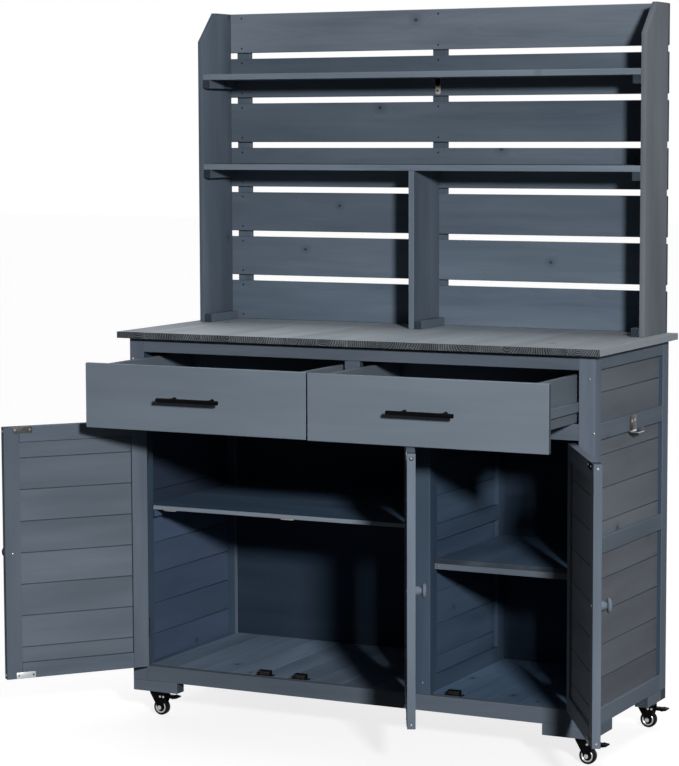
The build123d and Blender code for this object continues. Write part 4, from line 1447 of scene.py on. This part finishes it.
@dataclass
class Hutch:
    """Slatted back, sides, shelves, divider and cleats above the worktop."""

    cut_depth: float = 67.5 * MM
    cut_height: float = 71 * MM
    edge: float = 1.6 * MM
    nail_inset: float = 11 * MM
    warm_above: float = 1560 * MM
    slat_edge: float = 2.0 * MM
    shelf_edge: float = 1.2 * MM
    side_edge: float = 1.3 * MM
    slat_tones: tuple[float, ...] = (1.42, 1.2, 1.12, 1.05, 1.02, 0.97, 1.62)
    top_slat_cast: Vector = Vector((0.08, 0.0, -0.06))

    def build(self, joinery: Joinery, screws: ScrewBox) -> None:
        """Cut the boards and drive the nails and screws.

        Args:
            joinery: The saw bench.
            screws: The screws and nails.
        """
        joinery.cut("hutch_slats", self.slat_edge, tone=self.slat_tone, spread=0.03, cast=self.slat_stain)
        joinery.cut("hutch_battens", self.edge)
        for node in ("hutch_shelf_top", "hutch_shelf_middle", "hutch_divider"):
            # Paler front faces on the hutch's shelves and divider: painted light.
            joinery.cut(node, self.shelf_edge, cast=PaintedLightFrontEdge(0.8, 0.74, 0.66))
        joinery.cut("hutch_cleats", self.shelf_edge)
        self.side(joinery, "left", 1.0)
        self.side(joinery, "right", 1.2, "panel_wood")
        self.nails(screws)
        self.screws(screws)

    def slat_tone(self, place: Vector) -> float:
        """How light a slat is, by its height."""
        low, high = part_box("hutch_slats")
        return self.slat_tones[int((place.z - low.z) / (high.z - low.z) * len(self.slat_tones))]

    def slat_stain(self, centre: Vector, normal: Vector) -> Vector:
        """Warmer stain on the top slat."""
        return self.top_slat_cast if centre.z > self.warm_above else Vector()

    def side(self, joinery: Joinery, side: str, tone: float, finish: str = "hutch_wood") -> None:
        """Cut one side board with its sloping front corner.

        Args:
            joinery: The saw bench, for its finishes.
            side: Left or right.
            tone: How light the board is.
            finish: Its stain.
        """
        node = f"hutch_side_{side}"
        low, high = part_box(node)
        outline = [
            (low.y, low.z), (high.y, low.z), (high.y, high.z),
            (low.y + self.cut_depth, high.z), (low.y, high.z - self.cut_height),
        ]
        board = Assembly(f"{node}_cut")
        place = Matrix(((0, 0, 1, low.x), (1, 0, 0, 0), (0, 1, 0, 0), (0, 0, 0, 1)))
        board.add(milled(outline, high.x - low.x, self.side_edge), joinery.finishes[finish], place)
        grain = Matrix(((0, 0, 1, low.x * 9), (0, 1, 0, -0.16), (1, 0, 0, 0.6), (0, 0, 0, 1)))
        board.done("cabinet", SLOT_OF[node], node, grain=grain, tone=tone)

    def nails(self, screws: ScrewBox) -> None:
        """Drive two nails through each slat into each batten.

        Args:
            screws: The nails.
        """
        battens = [board.centre.x for board in boards_of("hutch_battens")]
        heads = []
        for slat in boards_of("hutch_slats"):
            for x in battens:
                for end in (-1, 1):
                    height = slat.centre.z + end * (slat.size.y / 2 - self.nail_inset)
                    heads.append(Fixing(Vector((x, slat.centre.y - slat.size.z / 2, height)), FORWARD))
        screws.drive("hutch_slat_nails", "cabinet", heads, 2.2 * MM, 0.3 * MM, Coating.NAIL, cross=False)

    def screws(self, screws: ScrewBox) -> None:
        """Set the screws that hold the sides to the cleats.

        Args:
            screws: The screws.
        """
        heads = []
        for points, turn in solids_of("hutch_screws"):
            middle = (points.min(0) + points.max(0)) / 2
            outward = 1 if middle[0] > 0 else -1
            x = points[:, 0].max() if outward > 0 else points[:, 0].min()
            heads.append(
                Fixing(Vector((x - outward * 0.6 * MM, middle[1], middle[2])), Vector((outward, 0, 0)))
            )
        screws.drive("hutch_side_screws", "cabinet", heads, 3.4 * MM, 0.6 * MM, replaced=("hutch_screws",))


def paint(node: str, material: bpy.types.Material) -> None:
    """Give a node of the part a better material."""
    for slot in frame["nodes"][node].material_slots:
        slot.material = material


@dataclass
class Hardware:
    """Catches, hinge leaves, shelf brackets, the tool hook and the caster plates."""

    bracket_leg: float = 38 * MM
    bracket_width: float = 14 * MM
    bracket_sheet: float = 2 * MM
    bracket_screws: tuple[float, float] = (9 * MM, 22 * MM)
    catch_ear: float = 2.4 * MM
    catch_housing: tuple[float, float] = (30 * MM, 12 * MM)
    catch_jaws: tuple[float, float] = (4.2 * MM, 8.2 * MM)
    catch_screws: float = 18.8 * MM
    hook_sheet: float = 2 * MM
    hook_lip: float = 12 * MM
    hook_screws: tuple[float, float] = (9 * MM, 13 * MM)

    def build(self, finishes: Finishes, screws: ScrewBox) -> None:
        """Make the small metal and plastic pieces that stay with the cabinet.

        Args:
            finishes: The bench's materials.
            screws: The screws.
        """
        # Hinge leaves in dark tarnish, partly painted shade along the hinge side.
        paint("hinge_frame_leaves", finishes[Coating.TARNISH])
        paint("caster_plates", finishes[Coating.BLACK_METAL])
        self.catches(finishes, screws)
        self.brackets(finishes, screws)
        self.hook(finishes, screws)

    def catches(self, finishes: Finishes, screws: ScrewBox) -> None:
        """Mould the door catches: an eared base, a housing and two steel jaws in its front.

        Args:
            finishes: The bench's materials.
            screws: The screws.
        """
        catches = Assembly("door_catches_moulded")
        black, heads = finishes[Coating.BLACK_PLASTIC], []
        ear, (housing, tall) = self.catch_ear, self.catch_housing
        for points, _ in solids_of("door_catches"):
            low, high = Vector(points.min(0)), Vector(points.max(0))
            length, depth, height = high - low
            middle = (low + high) / 2
            on_floor = height < 20 * MM
            base = rounded(rectangle(length, depth if on_floor else height), 3.5 * MM)
            if on_floor:
                place, across = Matrix.Translation((middle.x, middle.y, low.z)), UP
            else:
                place, across = stand(Vector((middle.x, high.y - ear, middle.z)), -RIGHT, BACK), FORWARD
            catches.add(milled(base, ear, 0.6 * MM), black, place)
            body = blank(housing, depth - 1 * MM, 2 * MM, tall, 0.9 * MM)
            catches.add(body, black, Matrix.Translation((middle.x, middle.y + 0.4 * MM, low.z)))
            for jaw in self.catch_jaws:
                strip = milled(rectangle(25 * MM, 1.1 * MM), 1.2 * MM, 0.2 * MM)
                front = Vector((middle.x, low.y + 1.3 * MM, low.z + jaw))
                catches.add(strip, finishes[Coating.TARNISH], stand(front, RIGHT, FORWARD))
            for side in (-1, 1):
                x = middle.x + side * self.catch_screws
                seat = (x, middle.y, low.z + ear) if on_floor else (x, high.y - ear, high.z - 7 * MM)
                heads.append(Fixing(Vector(seat), across))
        catches.done("cabinet", "black_plastic", "door_catches")
        screws.drive("door_catch_screws", "cabinet", heads, 2.3 * MM, 0.8 * MM, Coating.TARNISH)

    def brackets(self, finishes: Finishes, screws: ScrewBox) -> None:
        """Bend the angle under the top shelf and cut the two plates under the left shelf.

        Args:
            finishes: The bench's materials.
            screws: The screws.
        """
        metal = Assembly("steel_brackets_bent")
        heads, sheet = [], self.bracket_sheet
        for points, _ in solids_of("steel_brackets"):
            low, high = Vector(points.min(0)), Vector(points.max(0))
            middle = (low + high) / 2
            if high.z - low.z > 10 * MM:
                end = (6 * MM, 6 * MM, 0.0, 0.0)
                leg = blank(self.bracket_width, self.bracket_leg, end, sheet, 0.4 * MM)
                back = Vector((middle.x, high.y, middle.z))
                metal.add(leg, finishes[Coating.ZINC_PAINTED_LIGHT], stand(back, RIGHT, FORWARD))
                reach = high.y - low.y - sheet
                top = blank(self.bracket_width, reach, end, sheet, 0.4 * MM)
                under = Vector((middle.x, (low.y + high.y - sheet) / 2, high.z - sheet))
                metal.add(top, finishes[Coating.TARNISH], Matrix.Translation(under))
                front = high.y - sheet
                heads += [
                    Fixing(Vector((middle.x, front, low.z + rise)), FORWARD) for rise in self.bracket_screws
                ]
                heads.append(Fixing(Vector((middle.x, low.y + 10 * MM, high.z - sheet)), -UP))
            else:
                plate = blank(high.x - low.x, high.y - low.y, 3 * MM, high.z - low.z, 0.4 * MM)
                metal.add(plate, finishes[Coating.ZINC_PAINTED_LIGHT], Matrix.Translation((middle.x, middle.y, low.z)))
                heads.append(Fixing(Vector((middle.x, middle.y, low.z)), -UP))
        metal.done("cabinet", "steel", "steel_brackets")
        screws.drive("bracket_screws", "cabinet", heads, 2.4 * MM, 0.6 * MM, Coating.BLACK_METAL, cross=False)

    def hook(self, finishes: Finishes, screws: ScrewBox) -> None:
        """Bend the tool hook from one strip and screw it to the side.

        Args:
            finishes: The bench's materials.
            screws: The screws.
        """
        low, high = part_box("tool_hook")
        sheet, lip, width = self.hook_sheet, self.hook_lip, high.y - low.y
        knee = low.z + 5 * MM
        foot = [
            (low.x, knee), (low.x, low.z), (high.x, low.z),
            (high.x, low.z + sheet), (low.x + sheet, low.z + sheet), (low.x + sheet, knee),
        ]
        bends = (0.0, 3 * MM, 0.4 * MM, 0.4 * MM, 1 * MM, 0.0)
        hook = Assembly("tool_hook_bent")
        place = stand(Vector((0, high.y, 0)), RIGHT, FORWARD)
        # The foot is bright steel where the strip catches the light: painted highlight.
        hook.add(milled(rounded(foot, bends), width, 0.3 * MM), finishes[Coating.STEEL], place)
        plate = blank(width, high.z - knee, (0.0, 0.0, 4 * MM, 4 * MM), sheet, 0.3 * MM)
        seat = Vector((low.x, (low.y + high.y) / 2, (high.z + knee) / 2))
        hook.add(plate, finishes[Coating.HOOK_STEEL], stand(seat, BACK, RIGHT))
        # The upturned lip of the same strip is dark: painted shade.
        upturn = blank(width, lip - sheet, (0.0, 0.0, 3 * MM, 3 * MM), sheet, 0.3 * MM)
        edge = Vector((high.x - sheet, seat.y, low.z + (lip + sheet) / 2))
        hook.add(upturn, finishes[Coating.HOOK_LIP_PAINTED_SHADE], stand(edge, BACK, RIGHT))
        hook.done("cabinet", "hook_steel", "tool_hook")
        offset, drop = self.hook_screws
        heads = [Fixing(Vector((low.x + sheet, y, high.z - drop)), RIGHT) for y in (-offset, offset)]
        screws.drive("tool_hook_screws", "cabinet", heads, 3.6 * MM, 0.9 * MM)


@dataclass
class Caster:
    """One swivel caster with its brake pedal, trailing to the right."""

    corner: str
    radius: float = 19 * MM
    width: float = 17 * MM
    trail: float = 14 * MM
    leg_outside: float = 12.3 * MM
    axle_head: float = 5 * MM
    rivet_rise: float = 45.6 * MM
    rib_half_length: float = 10.5 * MM

    def build(self, finishes: Finishes) -> None:
        """Turn the wheel, paint the fork and the pedal, and add what shows on them.

        Args:
            finishes: The bench's materials.
        """
        plate = next(joint for joint in frame["joints"] if joint["child"] == f"caster_{self.corner}_fork")
        self.origin = Vector((plate["pos_m"][0], plate["pos_m"][1], 0))
        for part in ("fork", "pedal"):
            paint(f"caster_{self.corner}_{part}", finishes[Coating.BLACK_METAL])
        self.wheel(finishes)
        self.caps(finishes)
        self.ribs(finishes)

    def facing(self, forward: float, y: float, height: float) -> Matrix:
        """Place on the caster that faces -Y, with its X along the trail and its Y up."""
        return stand(self.origin + Vector((forward, y, height)), RIGHT, FORWARD)

    def far_side(self, half: Outline) -> Outline:
        """The same profile at the wheel's other side."""
        return [(r, self.width / MM - height) for r, height in reversed(half)]

    def wheel(self, finishes: Finishes) -> None:
        """Turn the wheel: a rounded tyre, a bright ring on each side and a sunk hub.

        Args:
            finishes: The bench's materials.
        """
        disc = [(3.2, 1.8), (8.4, 1.6), (9.9, 1.1)]
        ring = [(9.9, 1.1), (10.5, 0.4), (11.4, 0.1), (12.7, 0.1), (13.5, 0.6)]
        tread = [(13.5, 0.6), (14.2, 0.2), (16.2, 0.25), (18.0, 1.3), (18.8, 2.8), (19.0, 4.6)]
        wheel = Assembly(f"caster_{self.corner}_turned_wheel")
        place = self.facing(self.trail, self.width / 2, self.radius)
        parts = (
            (Coating.WHEEL, tread + self.far_side(tread)),
            (Coating.STEEL, ring), (Coating.STEEL, self.far_side(ring)),
            (Coating.BLACK_PLASTIC, disc), (Coating.BLACK_PLASTIC, self.far_side(disc) + [disc[0]]),
        )
        for finish, profile in parts:
            wheel.add(
                turned([(r * MM, h * MM) for r, h in profile], 36), finishes[finish], place, smooth=True
            )
        wheel.done(f"caster_{self.corner}_wheel", "wheel", f"caster_{self.corner}_wheel")

    def caps(self, finishes: Finishes) -> None:
        """Put bright caps on the axle's heads and rivets on the fork's legs.

        Args:
            finishes: The bench's materials.
        """
        caps = Assembly(f"caster_{self.corner}_caps")
        head = self.axle_head
        cap = [(head + 0.05 * MM, 0), (head, 1.5 * MM), (head * 0.7, 1.9 * MM), (0, 2.1 * MM)]
        rivet = [(2.9 * MM, 0), (2.5 * MM, 0.7 * MM), (1.4 * MM, 1.1 * MM), (0, 1.2 * MM)]
        spots = (
            (self.trail, self.radius, 0.0, cap),
            (24.3 * MM, self.rivet_rise, 0.1 * MM, rivet),
            (15.6 * MM, self.rivet_rise, 0.0, rivet),
        )
        for side in (-1, 1):
            for forward, height, lift, profile in spots:
                base = self.origin + Vector((forward, side * (self.leg_outside + lift), height))
                place = stand(base, RIGHT, Vector((0, side, 0)))
                caps.add(turned(profile, 20), finishes[Coating.STEEL], place, smooth=True)
        caps.done(f"caster_{self.corner}_fork", "steel")

    def ribs(self, finishes: Finishes) -> None:
        """Add the grip ribs on both faces of the brake pedal's wedge.

        Args:
            finishes: The bench's materials.
        """
        ribs = Assembly(f"caster_{self.corner}_pedal_ribs")
        half = self.rib_half_length
        outline = [(-1.3 * MM, 0), (1.3 * MM, 0), (0.2 * MM, 1.3 * MM)]
        for step in range(4):
            forward = (47.5 + 3.2 * step) * MM
            rise = (0.5 * step) * MM
            for sign, level in ((-1, 42.3 * MM + rise * 1.3), (1, 48.7 * MM - rise * 0.9)):
                place = self.facing(forward, half, level)
                if sign < 0:
                    place = place @ Matrix.Rotation(math.pi, 4, "X") @ Matrix.Translation((0, 0, -2 * half))
                ribs.add(milled(outline, 2 * half, 0.2 * MM, 1), finishes[Coating.BLACK_METAL], place)
        ribs.done(f"caster_{self.corner}_pedal", "black_metal")


@dataclass
class Studio:
    """Floor, lamps, world and camera."""

    camera_place: tuple[float, float, float] = (2.5434, -5.3135, 1.3809)
    camera_turn: tuple[float, float, float] = (26.872, 5.675, -0.193)
    lens: float = 120.01
    key_place: tuple[float, float, float] = (4.1, -5.4, 2.62)
    key_power: float = 480.0
    key_size: float = 0.6
    top: float = 1.2
    rear: float = 1.0
    left: float = 0.9
    ambient: float = 0.006

    def build(self) -> None:
        """Set up everything round the bench."""
        self.camera()
        self.world()
        self.floor()
        self.key()
        self.far_lamp("top", Vector((0.1, 0.1, 1.0)), self.top, 35.0)
        self.far_lamp("rear", Vector((-0.4, 1.0, 0.5)), self.rear, 90.0)
        self.far_lamp("left", Vector((-1.0, 0.8, 0.3)), self.left, 40.0)

    def camera(self) -> None:
        """Place the camera by its turn about Z, its dip and its roll."""
        yaw, dip, roll = (math.radians(angle) for angle in self.camera_turn)
        view = Vector((-math.sin(yaw) * math.cos(dip), math.cos(yaw) * math.cos(dip), -math.sin(dip)))
        right = Vector((math.cos(yaw), math.sin(yaw), 0))
        up = right.cross(view)
        right, up = right * math.cos(roll) + up * math.sin(roll), up * math.cos(roll) - right * math.sin(roll)
        data = bpy.data.cameras.new("Camera")
        data.lens = self.lens
        data.sensor_width = 36
        data.clip_end = 100
        camera = placed("Camera", data)
        turn = Matrix((right, up, -view)).transposed().to_4x4()
        camera.matrix_world = Matrix.Translation(self.camera_place) @ turn
        bpy.context.scene.camera = camera

    def world(self) -> None:
        """White to the camera and in reflections, and a faint light on everything else."""
        world = bpy.data.worlds.new("Studio")
        bpy.context.scene.world = world
        world.use_nodes = True
        wire = Wiring(world.node_tree)
        rays = wire.add("ShaderNodeLightPath")
        seen = wire.math("ADD", rays.outputs["Is Camera Ray"], rays.outputs["Is Glossy Ray"])
        seen = wire.math("MINIMUM", wire.math("ADD", seen, rays.outputs["Is Transmission Ray"]), 1.0)
        strength = wire.math("MULTIPLY_ADD", seen, 1.0 - self.ambient, self.ambient)
        sky = world.node_tree.nodes["Background"]
        sky.inputs["Color"].default_value = (1, 1, 1, 1)
        world.node_tree.links.new(strength, sky.inputs["Strength"])

    def floor(self) -> None:
        """Pale floor that shows white to the camera and keeps the bench's shadow."""
        shape = bmesh.new()
        bmesh.ops.create_grid(shape, x_segments=2, y_segments=2, size=30)
        mesh = bpy.data.meshes.new("floor")
        shape.to_mesh(mesh)
        shape.free()
        floor = placed("floor", mesh)
        material, wire, shader = new_material("floor")
        shader.inputs["Roughness"].default_value = 1.0
        shader.inputs["Specular IOR Level"].default_value = 0.0
        rays = wire.add("ShaderNodeLightPath")
        seen = wire.math("MAXIMUM", rays.outputs["Is Camera Ray"], rays.outputs["Is Glossy Ray"])
        shader.inputs["Emission Color"].default_value = (1, 1, 1, 1)
        links = material.node_tree.links
        links.new(wire.blend(seen, (0.1, 0.1, 0.1, 1), (0.3, 0.3, 0.3, 1)), shader.inputs["Base Color"])
        links.new(wire.math("MULTIPLY", seen, 0.8), shader.inputs["Emission Strength"])
        mesh.materials.append(material)

    def key(self) -> None:
        """Stand the main lamp to the front and right of the bench, aimed at its middle."""
        data = bpy.data.lights.new("key", "AREA")
        data.shape = "DISK"
        data.size = self.key_size
        data.energy = self.key_power
        lamp = placed("key", data)
        place = Vector(self.key_place)
        aim = place - Vector((0, 0, 0.9))
        lamp.matrix_world = Matrix.Translation(place) @ aim.to_track_quat("Z", "Y").to_matrix().to_4x4()

    def far_lamp(self, name: str, towards: Vector, strength: float, spread: float) -> None:
        """Hang a soft, far lamp.

        Args:
            name: The lamp's name.
            towards: Direction from the bench to the lamp.
            strength: Its irradiance.
            spread: Its angular size in degrees.
        """
        data = bpy.data.lights.new(name, "SUN")
        data.energy = strength
        data.angle = math.radians(spread)
        lamp = placed(name, data)
        lamp.matrix_world = towards.to_track_quat("Z", "Y").to_matrix().to_4x4()


# The left door's tarnished top strike and the right door's black strikes stand for plates in shade: painted
# shade.
DOORS = (
    Door(
        "left", 1, 128.5, Coating.TARNISH,
        frame_tone=1.16, board_tone=1.12, free_tone=0.98, board_cast=Vector((-0.08, 0.0, 0.06)),
    ),
    Door("middle", -1, 116.2, frame_tone=1.2),
    Door("right", -1, 120.4, Coating.BLACK_METAL, Coating.BLACK_METAL),
)
CORNERS = ("front_left", "front_right", "rear_left", "rear_right")


def main() -> None:
    """Build the bench piece by piece, and the studio round it."""
    logging.basicConfig(level=logging.INFO, format="%(message)s")
    finishes = Finishes()
    joinery = Joinery(finishes)
    screws = ScrewBox(finishes)
    Studio().build()
    Worktop().build(joinery)
    Cabinet().build(joinery, screws)
    for drawer in (Drawer("left", 1.12), Drawer("right")):
        drawer.build(joinery)
    for door in DOORS:
        door.build(joinery, screws)
    Hutch().build(joinery, screws)
    Hardware().build(finishes, screws)
    for corner in CORNERS:
        Caster(corner).build(finishes)
    bpy.context.scene.view_settings.view_transform = "Standard"


if __name__ == "__main__":
    main()
